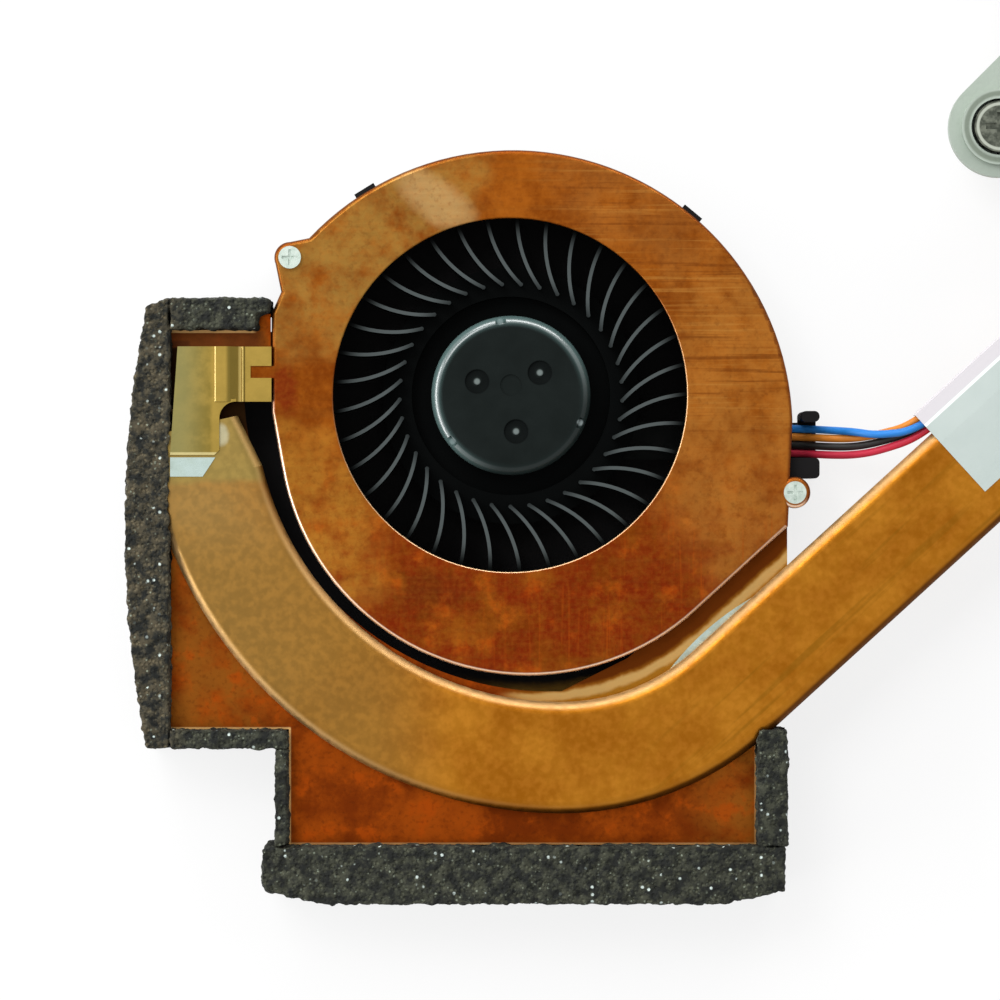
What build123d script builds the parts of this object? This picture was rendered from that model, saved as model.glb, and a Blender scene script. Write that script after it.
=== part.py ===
from build123d import *
import math
import os

os.makedirs("parts", exist_ok=True)

# Heights, from the underside of the fan
floor_t = 1.0
fan_h = 10.5
cover_t = 0.6
fin_low = 0.6
fin_top = 8.0
plate_t = 0.4
pipe_t = 3.0
foam_low = 0.3
foam_top = 12.0

# Fan cover in plan, about the fan's axis
inlet_r = 21.24
inlet_shift = 0.12
inlet_fillet = 0.2
top_arc_r = 33.61
top_arc_x = 0.22
top_arc_y = -4.19
low_arc_gap = 6.91
low_arc_x = 2.01
low_arc_y = -3.76
top_arc_left = 136.7
top_arc_right = 2.0
low_arc_left = 190.0
left_edge_gap = 2.12
left_edge_low = -2.0
left_edge_high = 9.8
right_corner_in = 0.57
lug_r = 1.9
left_screw_share = 0.69
left_screw_out = 1.0
knee_in = 1.14
knee_rise = 2.6
right_screw_out = 0.8
right_screw_rise = 4.08
rim_fillet = 0.55
tongue_l = 2.8
tongue_low = 2.04
tongue_high = 3.48

# Housing
wall_inset = 0.3
wall_t = 1.2
hook_w = 2.7
hook_reach = 0.45
hook_h = 1.2
left_hook_turn = 15.0
right_hook_turn = 48.4
post_wall = 0.8
tip_clear = 0.5
nub_reach = 4.2
nub_h = 8.5
upper_nub_l = 2.2
upper_nub_w = 1.3
lower_nub_w = 2.5
nub_gap = 0.2
nub_corner = 0.6
lead_rise = 10.44

# Cover screws
cover_head_r = 1.35
cover_head_h = 0.8
cover_shank_r = 0.9
cover_shank_l = 6.0
cover_hole_clear = 0.2

# Impeller and motor
blade_count = 37
blade_in_r = 13.4
blade_mid_r = 17.2
blade_out_r = 20.9
tip_r = 24.0
blade_mid_turn = 10.3
blade_out_turn = 12.8
blade_start = -2.7
blade_t = 0.42
blade_bead_r = 0.24
blade_low = 2.2
blade_top = 8.6
hub_r = 9.6
hub_wall = 0.9
hub_top = 9.6
hub_lid_t = 1.0
hub_fillet = 1.3
web_t = 1.0
web_in_r = 12.0
web_out_r = 15.5
web_rise = 3.4
rim_notch_w = 1.3
rim_notch_l = 0.9
rim_notch_depth = 0.4
rim_notch_start = 98.0
gate_r = 1.3
gate_y = 1.2
gate_depth = 0.12
dimple_r = 1.45
dimple_ring_r = 4.4
dimple_depth = 0.3
pip_r = 0.4
dimple_start = 38.0
yoke_t = 0.5
magnet_t = 1.0
magnet_low = 3.0
magnet_h = 4.0
air_gap = 0.4
shaft_r = 1.0
shaft_sink = 0.4
running_fit = 0.03
sleeve_t = 1.17
pad_t = 0.5
pad_gap = 0.05
core_low = 3.6
core_h = 2.8
core_ring_t = 1.4
tooth_count = 6
tooth_w = 1.4
shoe_t = 0.7
shoe_span = 44.0
coil_w = 2.8
coil_over = 0.6
coil_clear = 0.05
board_r = 8.4
board_t = 0.4
board_clear = 0.05
tail_w = 4.6
tail_neck_w = 3.0
tail_end_gap = 2.6

# Flattened heat pipe in plan
pipe_w = 13.4
pipe_x = 6.0
left_sweep_r = 43.56
right_sweep_r = 30.36
run_angle = 42.4
pipe_end_y = -10.0
tip_w = 5.0
tip_l = 9.0
shoulder_w = 10.4
shoulder_l = 6.5
far_shoulder_l = 2.0
far_tip_l = 3.0
bend_r = 25.0
pipe_past_cpu = 11.0

# Fin plate and fin stacks
plate_left_inset = 3.32
plate_top = 7.9
plate_past_pipe = 3.84
left_stack_w = 14.2
bottom_stack_w = 13.9
plate_right = 29.56
plate_lip_l = 10.0
lip_start_l = 8.0
lip_start_rise = 4.0
tab_w = 1.75
tab_l = 1.9
plate_edge_gap = 0.2
fan_gap = 1.2
under_pipe = 1.3
plate_show = 1.2
fin_set_back = 0.9
floor_fin_gap = 0.15
room_top = 2.2
stack_gap = 0.4
fin_t = 0.2
fin_pitch = 1.5
fin_sheet = 0.2

# Foam strips
left_foam_w = 5.3
left_foam_bow = 2.6
foam_side_w = 3.7
step_foam_w = 2.2
notch_foam_w = 1.5
bottom_foam_w = 6.9
right_foam_w = 3.6
bottom_foam_past = 1.55
bottom_foam_short = 0.3
foam_corner = 0.9
foam_end_l = 7.0
foam_end_rise = 1.6
foam_head_drop = 0.9
foam_clear = 0.2
vent_margin = 1.2

# Brass clip and solder
clip_t = 0.3
clip_pad_l = 13.0
clip_pad_w = 5.0
clip_strip_l = 6.6
clip_lap = 0.6
clip_crest_l = 1.6
clip_slope_l = 1.3
clip_flat_l = 3.9
clip_bend_r = 0.6
clip_edge_r = 0.24
clip_rib_r = 0.25
clip_rib_rise = 0.2
clip_notch_l = 2.5
clip_corner = 0.6
clip_flare = 0.9
clip_fillet = 2.0
clip_past_tongue = 2.32
solder_t = 0.15
solder_gap = 0.3
solder_l = 5.4
solder_w = 2.3
solder_end_l = 3.9
band_w = 1.25
band_tuck = 0.6
band_turn = 12.0
band_run = 11.5

# Processor end
lug_screw_x = 58.76
lug_screw_y = 32.3
screw_pitch = 42.0
arm_w = 12.0
bracket_t = 2.0
bracket_body = 36.0
cup_low = 4.2
cup_floor = 1.0
cup_wall = 1.6
ring_r = 4.55
ring_h = 1.0
plug_x = 26.0
plug_y = 22.0
plug_clear = 0.1
flange_w = 2.0
flange_t = 1.0
head_r = 3.06
head_h = 1.5
head_clear = 0.34
cross_w = 0.7
cross_l = 3.4
cross_depth = 0.8
shank_r = 1.25
shank_clear = 0.35
neck_r = 1.0
neck_gap = 0.1
screw_tip = 0.6
spring_h = 3.2
spring_wire_r = 0.2
spring_r = 2.2
spring_turns = 4
spring_gap = 0.03
clip_ring_r = 2.4
clip_ring_t = 0.8
clip_ring_gap = 0.1

# Wires, tape and plug
wire_d = 0.93
wire_pitch = 1.0
bundle_gap = 1.7
plug_from_lug_x = 10.3
plug_from_lug_y = 1.3
tape_t = 0.15
tape_start = 38.6
tape_l = 20.0
tape_past_axis = 2.7
tape_drop = 2.4
fan_plug_w = 6.4
fan_plug_l = 5.5
fan_plug_h = 3.2
fan_plug_pin_r = 0.3
fan_plug_pin_depth = 3.0

# Levels that follow from the heights
cover_low = fan_h - cover_t
plate_high = fin_top + plate_t
pipe_mid = plate_high + pipe_t / 2
pipe_top = plate_high + pipe_t
run_x = math.cos(math.radians(run_angle))
run_y = math.sin(math.radians(run_angle))

# Places in plan that follow from the pipe's left sweep and the upper arc
pipe_in_r = left_sweep_r - pipe_w / 2
pipe_out_r = left_sweep_r + pipe_w / 2
low_arc_r = pipe_in_r - low_arc_gap
left_edge_x = pipe_x - pipe_in_r + left_edge_gap
plate_left = pipe_x - pipe_out_r + plate_left_inset
plate_bottom = -pipe_out_r - plate_past_pipe
plate_step_x = plate_left + left_stack_w
plate_step_y = plate_bottom + bottom_stack_w
right_corner_x = top_arc_x + top_arc_r - right_corner_in
tail_end_x = right_corner_x - tail_end_gap


def finish(builder, name):
    """Name a finished piece and write it."""
    builder.part.label = name
    export_step(builder.part, f"parts/{name}.step")


def on_circle(x, y, radius, degrees):
    """Point on a circle, by its angle from +X."""
    angle = math.radians(degrees)
    return (x + radius * math.cos(angle), y + radius * math.sin(angle))


# Fan outline: an upper arc, a lower arc, a slanted edge along the pipe and two screw lugs
low_end = on_circle(low_arc_x, low_arc_y, low_arc_r, run_angle - 90)
edge_l = (right_corner_x - low_end[0]) / run_x
right_corner = (right_corner_x, low_end[1] + edge_l * run_y)
top_left = on_circle(top_arc_x, top_arc_y, top_arc_r, top_arc_left)
top_right = on_circle(top_arc_x, top_arc_y, top_arc_r, top_arc_right)
top_middle = on_circle(top_arc_x, top_arc_y, top_arc_r, (top_arc_left + top_arc_right) / 2)
low_left = on_circle(low_arc_x, low_arc_y, low_arc_r, low_arc_left)
low_middle = on_circle(low_arc_x, low_arc_y, low_arc_r, (low_arc_left + 270 + run_angle) / 2)
left_side = Vector(top_left) - Vector(left_edge_x, left_edge_high)
left_out = Vector(-left_side.Y, left_side.X).normalized()
left_screw = Vector(left_edge_x, left_edge_high) + left_side * left_screw_share + left_out * left_screw_out
left_knee = (left_edge_x + knee_in, left_edge_high + knee_rise)
right_screw = Vector(right_corner) + Vector(right_screw_out, right_screw_rise)
screw_points = ((left_screw.X, left_screw.Y), (right_screw.X, right_screw.Y))
lead_y = right_corner[1] + lead_rise


def fan_outline(grow):
    """Fan outline, moved outwards by grow."""
    with BuildSketch() as outline:
        with BuildLine():
            Polyline(
                low_left,
                (left_edge_x, left_edge_low),
                (left_edge_x, left_edge_high),
                left_knee,
                (left_screw.X - lug_r, left_screw.Y),
                (left_screw.X, left_screw.Y + lug_r),
                top_left,
            )
            ThreePointArc(top_left, top_middle, top_right)
            Polyline(top_right, right_corner, low_end)
            ThreePointArc(low_end, low_middle, low_left)
        make_face()
        with Locations(*screw_points):
            Circle(lug_r)
        if grow:
            offset(amount=grow)
    return outline.sketch


def block_sketch(x0, y0, x1, y1):
    """Rectangle by two opposite corners."""
    with BuildSketch() as block:
        with Locations(((x0 + x1) / 2, (y0 + y1) / 2)):
            Rectangle(x1 - x0, y1 - y0)
    return block.sketch


cover_plan = fan_outline(0)
wall_plan = fan_outline(-wall_inset)
room_plan = fan_outline(-wall_inset - wall_t)
gap_plan = fan_outline(fan_gap)

# Heat pipe: left sweep, right sweep, slanted run, bend, then straight over the processor
cpu_x = lug_screw_x + screw_pitch / 2
cpu_y = lug_screw_y + screw_pitch / 2
left_start = 180 + math.degrees(math.asin(-pipe_end_y / left_sweep_r))
right_sweep_y = right_sweep_r - left_sweep_r
run_start = on_circle(pipe_x, right_sweep_y, right_sweep_r, run_angle - 90)
bend_turn = 90 - run_angle
run_l = (cpu_x - run_start[0]) / run_x - bend_r * math.tan(math.radians(bend_turn / 2))
run_end = (run_start[0] + run_l * run_x, run_start[1] + run_l * run_y)


def pipe_solid(grow):
    """Flattened pipe with a shoulder and a narrow closed tip at each end, grown on every side."""
    thick = pipe_t + 2 * grow
    with BuildPart() as pipe:
        with BuildLine() as path:
            CenterArc((pipe_x, 0, pipe_mid), left_sweep_r, left_start, 270 - left_start)
            CenterArc((pipe_x, right_sweep_y, pipe_mid), right_sweep_r, 270, run_angle)
            Line((*run_start, pipe_mid), (*run_end, pipe_mid))
            bend = JernArc((*run_end, pipe_mid), (run_x, run_y, 0), bend_r, bend_turn)
            Line(bend @ 1, (cpu_x, cpu_y + pipe_past_cpu, pipe_mid))
        start = path.line @ 0
        along = path.line % 0
        across = along.rotate(Axis.Z, 90)
        with BuildSketch(Plane(origin=start, x_dir=across, z_dir=along)):
            SlotOverall(pipe_w + 2 * grow, thick)
        sweep()
        far_out = path.line % 1
        far_side = far_out.rotate(Axis.Z, 90)
        near_end = (start, along * -1, across, shoulder_l, tip_l)
        far_end = (path.line @ 1, far_out, far_side, far_shoulder_l, far_tip_l)
        for place, out, side, shoulder, length in (near_end, far_end):
            with BuildSketch(Plane(origin=place, x_dir=side, z_dir=out)):
                SlotOverall(pipe_w + 2 * grow, thick)
            with BuildSketch(Plane(origin=place + out * shoulder, x_dir=side, z_dir=out)):
                SlotOverall(shoulder_w + 2 * grow, thick)
            loft()
            with BuildSketch(Plane(origin=place - out * pipe_t, x_dir=side, z_dir=out)):
                SlotOverall(tip_w + 2 * grow, thick)
            extrude(amount=pipe_t + length + grow)
    return pipe.part


with BuildPart() as heat_pipe:
    add(pipe_solid(0))
finish(heat_pipe, "heat_pipe")

# Plan of the fins: an L round two sides of the fan, inner edge under the pipe on the left, past it below
room_shift = (under_pipe + plate_show) / 2
room_r = pipe_in_r + (under_pipe - plate_show) / 2
tab_left = left_edge_x - tab_w
tab_top = plate_top + tab_l


def pipe_room(grow):
    """Open room between the fan and the fins, as far as the plate's lip, grown by grow."""
    with BuildSketch() as room:
        with Locations((pipe_x - room_shift, room_shift)):
            Circle(room_r + grow)
        add(block_sketch(plate_left, plate_bottom, pipe_x + lip_start_l, room_top), mode=Mode.INTERSECT)
    return room.sketch


with BuildSketch() as left_plan:
    add(block_sketch(plate_left, plate_step_y, plate_step_x, plate_top))
    add(gap_plan, mode=Mode.SUBTRACT)
    add(pipe_room(fin_set_back), mode=Mode.SUBTRACT)
with BuildSketch() as bottom_plan:
    add(block_sketch(plate_step_x + stack_gap, plate_bottom, plate_right, right_corner[1]))
    add(gap_plan, mode=Mode.SUBTRACT)
    add(pipe_room(fin_set_back), mode=Mode.SUBTRACT)

with BuildPart() as fin_plate:
    with BuildSketch(Plane.XY.offset(fin_top)):
        add(block_sketch(plate_left, plate_step_y, plate_right, plate_top))
        add(block_sketch(plate_step_x, plate_bottom, plate_right, plate_step_y))
        add(gap_plan, mode=Mode.SUBTRACT)
        add(pipe_room(0), mode=Mode.SUBTRACT)
        add(block_sketch(plate_step_x, right_corner[1], plate_right, plate_top), mode=Mode.SUBTRACT)
        add(block_sketch(plate_left, room_top, left_edge_x - plate_edge_gap, plate_top))
        add(block_sketch(tab_left, plate_top, left_edge_x - plate_edge_gap, tab_top))
        with BuildLine():
            Polyline(
                (pipe_x, room_shift - room_r),
                (pipe_x + lip_start_l, room_shift - room_r + lip_start_rise),
                right_corner,
                (right_corner_x, right_corner[1] - plate_lip_l),
                (plate_right, -pipe_in_r),
                (pipe_x, -left_sweep_r),
                close=True,
            )
        make_face()
    extrude(amount=plate_t)
finish(fin_plate, "fin_plate")


def fin_stack(plan, along_x):
    """Thin fins between a lower and an upper sheet."""
    box = plan.bounding_box()
    size = box.size.Y if along_x else box.size.X
    count = int(size / fin_pitch)
    with BuildPart() as stack:
        for level in (fin_low, fin_top - fin_sheet):
            with BuildSketch(Plane.XY.offset(level)):
                add(plan)
            extrude(amount=fin_sheet)
        with BuildSketch(Plane.XY.offset(fin_low)):
            with Locations(box.center()):
                if along_x:
                    with GridLocations(fin_pitch, fin_pitch, 1, count):
                        Rectangle(2 * box.size.X, fin_t)
                else:
                    with GridLocations(fin_pitch, fin_pitch, count, 1):
                        Rectangle(fin_t, 2 * box.size.Y)
            add(plan, mode=Mode.INTERSECT)
        extrude(amount=fin_top - fin_low)
    return stack.part


with BuildPart() as left_fins:
    add(fin_stack(left_plan.sketch, True))
finish(left_fins, "left_fins")
with BuildPart() as bottom_fins:
    add(fin_stack(bottom_plan.sketch, False))
finish(bottom_fins, "bottom_fins")

# Fan cover: copper sheet with a round inlet, two lugs and a tongue under the brass clip
with BuildPart() as fan_cover:
    with BuildSketch(Plane.XY.offset(cover_low)):
        add(cover_plan)
    extrude(amount=cover_t)
    fillet(fan_cover.faces().sort_by(Axis.Z)[-1].outer_wire().edges(), rim_fillet)
    with BuildSketch(Plane.XY.offset(cover_low)):
        add(block_sketch(left_edge_x - tongue_l, tongue_low, left_edge_x + cover_t, tongue_high))
    extrude(amount=cover_t)
    with BuildSketch(Plane.XY.offset(cover_low)):
        with Locations((-inlet_shift, 0)):
            Circle(inlet_r)
        with Locations(*screw_points):
            Circle(cover_shank_r + cover_hole_clear)
    extrude(amount=cover_t, mode=Mode.SUBTRACT)
    lid = fan_cover.faces().group_by(Axis.Z)[-1].sort_by(SortBy.AREA)[-1]
    fillet(lid.inner_wires().sort_by(SortBy.LENGTH)[-1].edges(), inlet_fillet)
finish(fan_cover, "fan_cover")

# Housing: floor out to the fins, a wall round the closed sides, bosses, hooks and a shelf with wire nubs
sleeve_r = shaft_r + running_fit + sleeve_t
post_r = sleeve_r + post_wall
wire_span = 3 * wire_pitch + wire_d
upper_nub_y = lead_y + wire_span / 2 + nub_gap
lower_nub_y = lead_y - wire_span / 2 - nub_gap
nub_root_x = right_corner_x - wall_inset - wall_t
nub_end_x = right_corner_x - wall_inset + nub_reach
beyond = 2 * top_arc_r
closed_side = (
    (-beyond, beyond),
    (beyond, beyond),
    (beyond, lower_nub_y - lower_nub_w),
    (0, lower_nub_y - lower_nub_w),
    (left_edge_x + wall_inset + wall_t, room_top),
    (-beyond, room_top),
)
with BuildSketch() as floor_plan:
    add(block_sketch(pipe_x, plate_bottom, plate_right, right_corner[1]))
    add(block_sketch(plate_left, room_top, 0, plate_top))
    add(gap_plan, mode=Mode.INTERSECT)
    add(pipe_room(fin_set_back - floor_fin_gap))
    add(wall_plan)
with BuildPart() as fan_housing:
    with BuildSketch():
        add(floor_plan.sketch)
    extrude(amount=floor_t)
    with BuildSketch(Plane.XY.offset(floor_t)):
        add(wall_plan)
        add(room_plan, mode=Mode.SUBTRACT)
        with BuildLine():
            Polyline(*closed_side, close=True)
        make_face(mode=Mode.INTERSECT)
        Circle(tip_r + tip_clear, mode=Mode.SUBTRACT)
        with Locations(*screw_points):
            Circle(lug_r - wall_inset)
    extrude(amount=cover_low - floor_t)
    with BuildSketch(Plane.XY.offset(floor_t)):
        Circle(post_r)
    extrude(amount=core_low + core_h - floor_t)
    with BuildSketch(Plane.XY.offset(floor_t)):
        Circle(sleeve_r)
    extrude(amount=fan_h, mode=Mode.SUBTRACT)
    with BuildSketch(Plane.XY.offset(floor_t)):
        add(block_sketch(right_corner_x - 2 * wall_t, lower_nub_y, right_corner_x + wall_t, upper_nub_y))
    extrude(amount=fan_h / 2 - floor_t, mode=Mode.SUBTRACT)
    with BuildSketch():
        add(block_sketch(nub_root_x, lower_nub_y - lower_nub_w / 2, nub_end_x, upper_nub_y))
        add(block_sketch(nub_end_x - upper_nub_l, lead_y, nub_end_x, upper_nub_y + upper_nub_w / 2))
    extrude(amount=floor_t)
    with BuildSketch():
        with Locations((nub_end_x - upper_nub_l / 2, upper_nub_y + upper_nub_w / 2)):
            RectangleRounded(upper_nub_l, upper_nub_w, nub_corner)
        with Locations(((nub_root_x + nub_end_x) / 2, lower_nub_y - lower_nub_w / 2)):
            RectangleRounded(nub_end_x - nub_root_x, lower_nub_w, nub_corner)
    extrude(amount=nub_h)
    with BuildSketch(Plane.XY.offset(cover_low - hook_h)):
        for hook_angle in (top_arc_left - left_hook_turn, top_arc_right + right_hook_turn):
            with Locations(on_circle(top_arc_x, top_arc_y, top_arc_r, hook_angle)):
                Rectangle(2 * hook_reach, hook_w, rotation=hook_angle)
    extrude(amount=hook_h)
    with Locations(*[(x, y, cover_low) for x, y in screw_points]):
        Hole(cover_shank_r, depth=cover_shank_l)
finish(fan_housing, "fan_housing")

# Cover screws
with BuildPart() as cover_screws:
    with BuildSketch(Plane.XY.offset(fan_h)):
        with Locations(*screw_points):
            Circle(cover_head_r)
    extrude(amount=cover_head_h)
    with BuildSketch(Plane.XY.offset(fan_h)):
        with Locations(*screw_points):
            Circle(cover_shank_r)
    extrude(amount=-(cover_t + cover_shank_l))
    with BuildSketch(Plane.XY.offset(fan_h + cover_head_h)):
        with Locations(*screw_points):
            Rectangle(1.4 * cover_head_r, cover_head_r / 4)
            Rectangle(cover_head_r / 4, 1.4 * cover_head_r)
    extrude(amount=-cover_head_h / 2, mode=Mode.SUBTRACT)
finish(cover_screws, "cover_screws")

# Impeller: hub cup, web and curved blades
with BuildSketch() as blade_plan:
    with BuildLine():
        blade_arc = ThreePointArc(
            on_circle(0, 0, blade_in_r, 0),
            on_circle(0, 0, blade_mid_r, blade_mid_turn),
            on_circle(0, 0, blade_out_r, blade_out_turn),
        )
        Line(blade_arc @ 1, on_circle(0, 0, tip_r, blade_out_turn))
    trace(line_width=blade_t)
    with Locations(blade_arc @ 0):
        Circle(blade_bead_r)
hub_in_r = hub_r - hub_wall
hub_lid = hub_top - hub_lid_t
with BuildPart() as impeller:
    with BuildSketch(Plane.XY.offset(blade_low)):
        Circle(hub_r)
    extrude(amount=hub_top - blade_low)
    fillet(impeller.faces().sort_by(Axis.Z)[-1].edges(), hub_fillet)
    with BuildSketch(Plane.XY.offset(blade_low)):
        Circle(web_out_r)
    extrude(amount=web_t)
    with BuildSketch(Plane.XY.offset(blade_low)):
        Circle(web_out_r)
        Circle(web_in_r, mode=Mode.SUBTRACT)
    extrude(amount=web_rise)
    with BuildSketch(Plane.XY.offset(blade_low)):
        with PolarLocations(0, blade_count, start_angle=blade_start):
            add(blade_plan.sketch)
    extrude(amount=blade_top - blade_low)
    with BuildSketch(Plane.XY.offset(blade_low)):
        Circle(hub_in_r)
    extrude(amount=hub_lid - blade_low, mode=Mode.SUBTRACT)
    with BuildSketch(Plane.XY.offset(hub_lid)):
        Circle(shaft_r)
    extrude(amount=shaft_sink, mode=Mode.SUBTRACT)
    with BuildSketch(Plane.XY.offset(hub_top)):
        with PolarLocations(dimple_ring_r, 3, start_angle=dimple_start):
            Circle(dimple_r)
            Circle(pip_r, mode=Mode.SUBTRACT)
    extrude(amount=-dimple_depth, mode=Mode.SUBTRACT)
    with BuildSketch(Plane.XY.offset(hub_top)):
        with Locations((0, gate_y)):
            Circle(gate_r)
    extrude(amount=-gate_depth, mode=Mode.SUBTRACT)
    with BuildSketch(Plane.XY.offset(hub_top)):
        with PolarLocations(hub_r - rim_notch_l / 2, 3, start_angle=rim_notch_start):
            Rectangle(rim_notch_l, rim_notch_w)
    extrude(amount=-rim_notch_depth, mode=Mode.SUBTRACT)
finish(impeller, "impeller")

# Rotor yoke, ring magnet and shaft, inside the hub
yoke_in_r = hub_in_r - yoke_t
with BuildPart() as rotor_yoke:
    with BuildSketch(Plane.XY.offset(magnet_low)):
        Circle(hub_in_r)
    extrude(amount=hub_lid - magnet_low)
    with BuildSketch(Plane.XY.offset(magnet_low)):
        Circle(yoke_in_r)
    extrude(amount=hub_lid - yoke_t - magnet_low, mode=Mode.SUBTRACT)
    with BuildSketch(Plane.XY.offset(magnet_low)):
        Circle(shaft_r)
    extrude(amount=fan_h, mode=Mode.SUBTRACT)
finish(rotor_yoke, "rotor_yoke")

magnet_in_r = yoke_in_r - magnet_t
with BuildPart() as rotor_magnet:
    with BuildSketch(Plane.XY.offset(magnet_low)):
        Circle(yoke_in_r)
        Circle(magnet_in_r, mode=Mode.SUBTRACT)
    extrude(amount=magnet_h)
finish(rotor_magnet, "rotor_magnet")

shaft_low = floor_t + pad_t + pad_gap
with BuildPart() as fan_shaft:
    with BuildSketch(Plane.XY.offset(shaft_low)):
        Circle(shaft_r)
    extrude(amount=hub_lid + shaft_sink - shaft_low)
finish(fan_shaft, "fan_shaft")

# Bearing sleeve and thrust pad in the housing's post
with BuildPart() as bearing_sleeve:
    with BuildSketch(Plane.XY.offset(floor_t + pad_t)):
        Circle(sleeve_r)
        Circle(shaft_r + running_fit, mode=Mode.SUBTRACT)
    extrude(amount=core_low + core_h - floor_t - pad_t)
finish(bearing_sleeve, "bearing_sleeve")

with BuildPart() as thrust_pad:
    with BuildSketch(Plane.XY.offset(floor_t)):
        Circle(sleeve_r)
    extrude(amount=pad_t)
finish(thrust_pad, "thrust_pad")

# Stator core with teeth and shoes, and a coil on each tooth
core_out_r = magnet_in_r - air_gap
ring_out_r = post_r + core_ring_t
shoe_in_r = core_out_r - shoe_t
with BuildPart() as stator_core:
    with BuildSketch(Plane.XY.offset(core_low)):
        Circle(ring_out_r)
        with PolarLocations((post_r + core_out_r) / 2, tooth_count):
            Rectangle(core_out_r - post_r, tooth_w)
        with BuildSketch(mode=Mode.PRIVATE) as shoes:
            with PolarLocations(0, tooth_count):
                with BuildLine():
                    Polyline(
                        (0, 0),
                        on_circle(0, 0, 2 * core_out_r, -shoe_span / 2),
                        on_circle(0, 0, 2 * core_out_r, shoe_span / 2),
                        close=True,
                    )
                make_face()
            Circle(core_out_r, mode=Mode.INTERSECT)
            Circle(shoe_in_r, mode=Mode.SUBTRACT)
        add(shoes.sketch)
        Circle(core_out_r, mode=Mode.INTERSECT)
        Circle(post_r, mode=Mode.SUBTRACT)
    extrude(amount=core_h)
finish(stator_core, "stator_core")

coil_in_r = ring_out_r + 2 * coil_clear
coil_out_r = math.sqrt((shoe_in_r - coil_clear) ** 2 - (coil_w / 2) ** 2)
with BuildPart() as stator_coils:
    with BuildSketch(Plane.XY.offset(core_low - coil_over)):
        with PolarLocations((coil_in_r + coil_out_r) / 2, tooth_count):
            Rectangle(coil_out_r - coil_in_r, coil_w)
    extrude(amount=core_h + 2 * coil_over)
    with BuildSketch(Plane.XY.offset(core_low - coil_clear)):
        with PolarLocations((coil_in_r + coil_out_r) / 2, tooth_count):
            Rectangle(2 * (coil_out_r - coil_in_r), tooth_w + 2 * coil_clear)
    extrude(amount=core_h + 2 * coil_clear, mode=Mode.SUBTRACT)
finish(stator_coils, "stator_coils")

# Motor board with a tail that carries the wires' solder pads
with BuildPart() as motor_board:
    with BuildSketch(Plane.XY.offset(floor_t)):
        Circle(board_r)
        add(block_sketch(0, lead_y - tail_w / 2, tail_end_x, lead_y + tail_w / 2))
        add(block_sketch(0, min(lead_y, 0), tail_neck_w, max(lead_y, 0)))
        Circle(post_r + board_clear, mode=Mode.SUBTRACT)
    extrude(amount=board_t)
finish(motor_board, "motor_board")

# Foam strips round the two outlets
pipe_pocket = pipe_solid(foam_clear)
foam_left = plate_left - left_foam_w
foam_head = plate_top + foam_side_w
foam_shoulder = foam_head - foam_head_drop
foam_foot = plate_step_y - step_foam_w
notch_x = plate_step_x - notch_foam_w
foam_h = foam_top - foam_low
with BuildPart() as left_foam:
    with BuildSketch(Plane.XY.offset(foam_low)):
        with BuildLine():
            Polyline(
                (foam_left + left_foam_bow, foam_foot),
                (plate_left, foam_foot),
                (plate_left, foam_head),
                (foam_left + left_foam_bow, foam_shoulder),
            )
            ThreePointArc(
                (foam_left + left_foam_bow, foam_shoulder),
                (foam_left, (foam_foot + foam_shoulder) / 2),
                (foam_left + left_foam_bow, foam_foot),
            )
        make_face()
    extrude(amount=foam_h)
    with BuildSketch(Plane.YZ.offset(foam_left - left_foam_w)):
        with Locations(((plate_step_y + plate_top) / 2, (fin_low + fin_top) / 2)):
            Rectangle(plate_top - plate_step_y - 2 * vent_margin, fin_top - fin_low - vent_margin)
    extrude(amount=3 * left_foam_w, mode=Mode.SUBTRACT)
    add(pipe_pocket, mode=Mode.SUBTRACT)
finish(left_foam, "left_foam")

bottom_left = notch_x - bottom_foam_past
bottom_right = plate_right + right_foam_w - bottom_foam_short
bottom_low = plate_bottom - bottom_foam_w
with BuildPart() as bottom_foam:
    with BuildSketch(Plane.XY.offset(foam_low)):
        with BuildLine():
            Polyline(
                (bottom_left, plate_bottom),
                (bottom_left, bottom_low + foam_end_rise),
                (bottom_left + foam_end_l, bottom_low),
                (bottom_right - foam_end_l, bottom_low),
                (bottom_right, bottom_low + foam_end_rise),
                (bottom_right, plate_bottom),
                close=True,
            )
        outline = make_face()
        fillet(outline.vertices().group_by(Axis.X)[0], foam_corner)
    extrude(amount=foam_h)
    with BuildSketch(Plane.XZ.offset(-plate_bottom)):
        with Locations(((plate_step_x + plate_right) / 2, (fin_low + fin_top) / 2)):
            Rectangle(plate_right - plate_step_x - 2 * vent_margin, fin_top - fin_low - vent_margin)
    extrude(amount=2 * bottom_foam_w, both=True, mode=Mode.SUBTRACT)
finish(bottom_foam, "bottom_foam")

with BuildPart() as top_foam:
    with BuildSketch(Plane.XY.offset(foam_low)):
        add(block_sketch(plate_left, plate_top, left_edge_x - foam_clear, foam_head))
        add(block_sketch(tab_left, plate_top, left_edge_x, tab_top), mode=Mode.SUBTRACT)
    extrude(amount=foam_h)
finish(top_foam, "top_foam")

strip_plans = {
    "step_foam": (plate_left, foam_foot, plate_step_x, plate_step_y),
    "notch_foam": (notch_x, plate_bottom, plate_step_x, foam_foot),
    "right_foam": (plate_right, plate_bottom, plate_right + right_foam_w, plate_step_y),
}
for strip_name, corners in strip_plans.items():
    with BuildPart() as strip:
        with BuildSketch(Plane.XY.offset(foam_low)):
            add(block_sketch(*corners))
        extrude(amount=foam_h)
        add(pipe_pocket, mode=Mode.SUBTRACT)
    finish(strip, strip_name)

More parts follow.
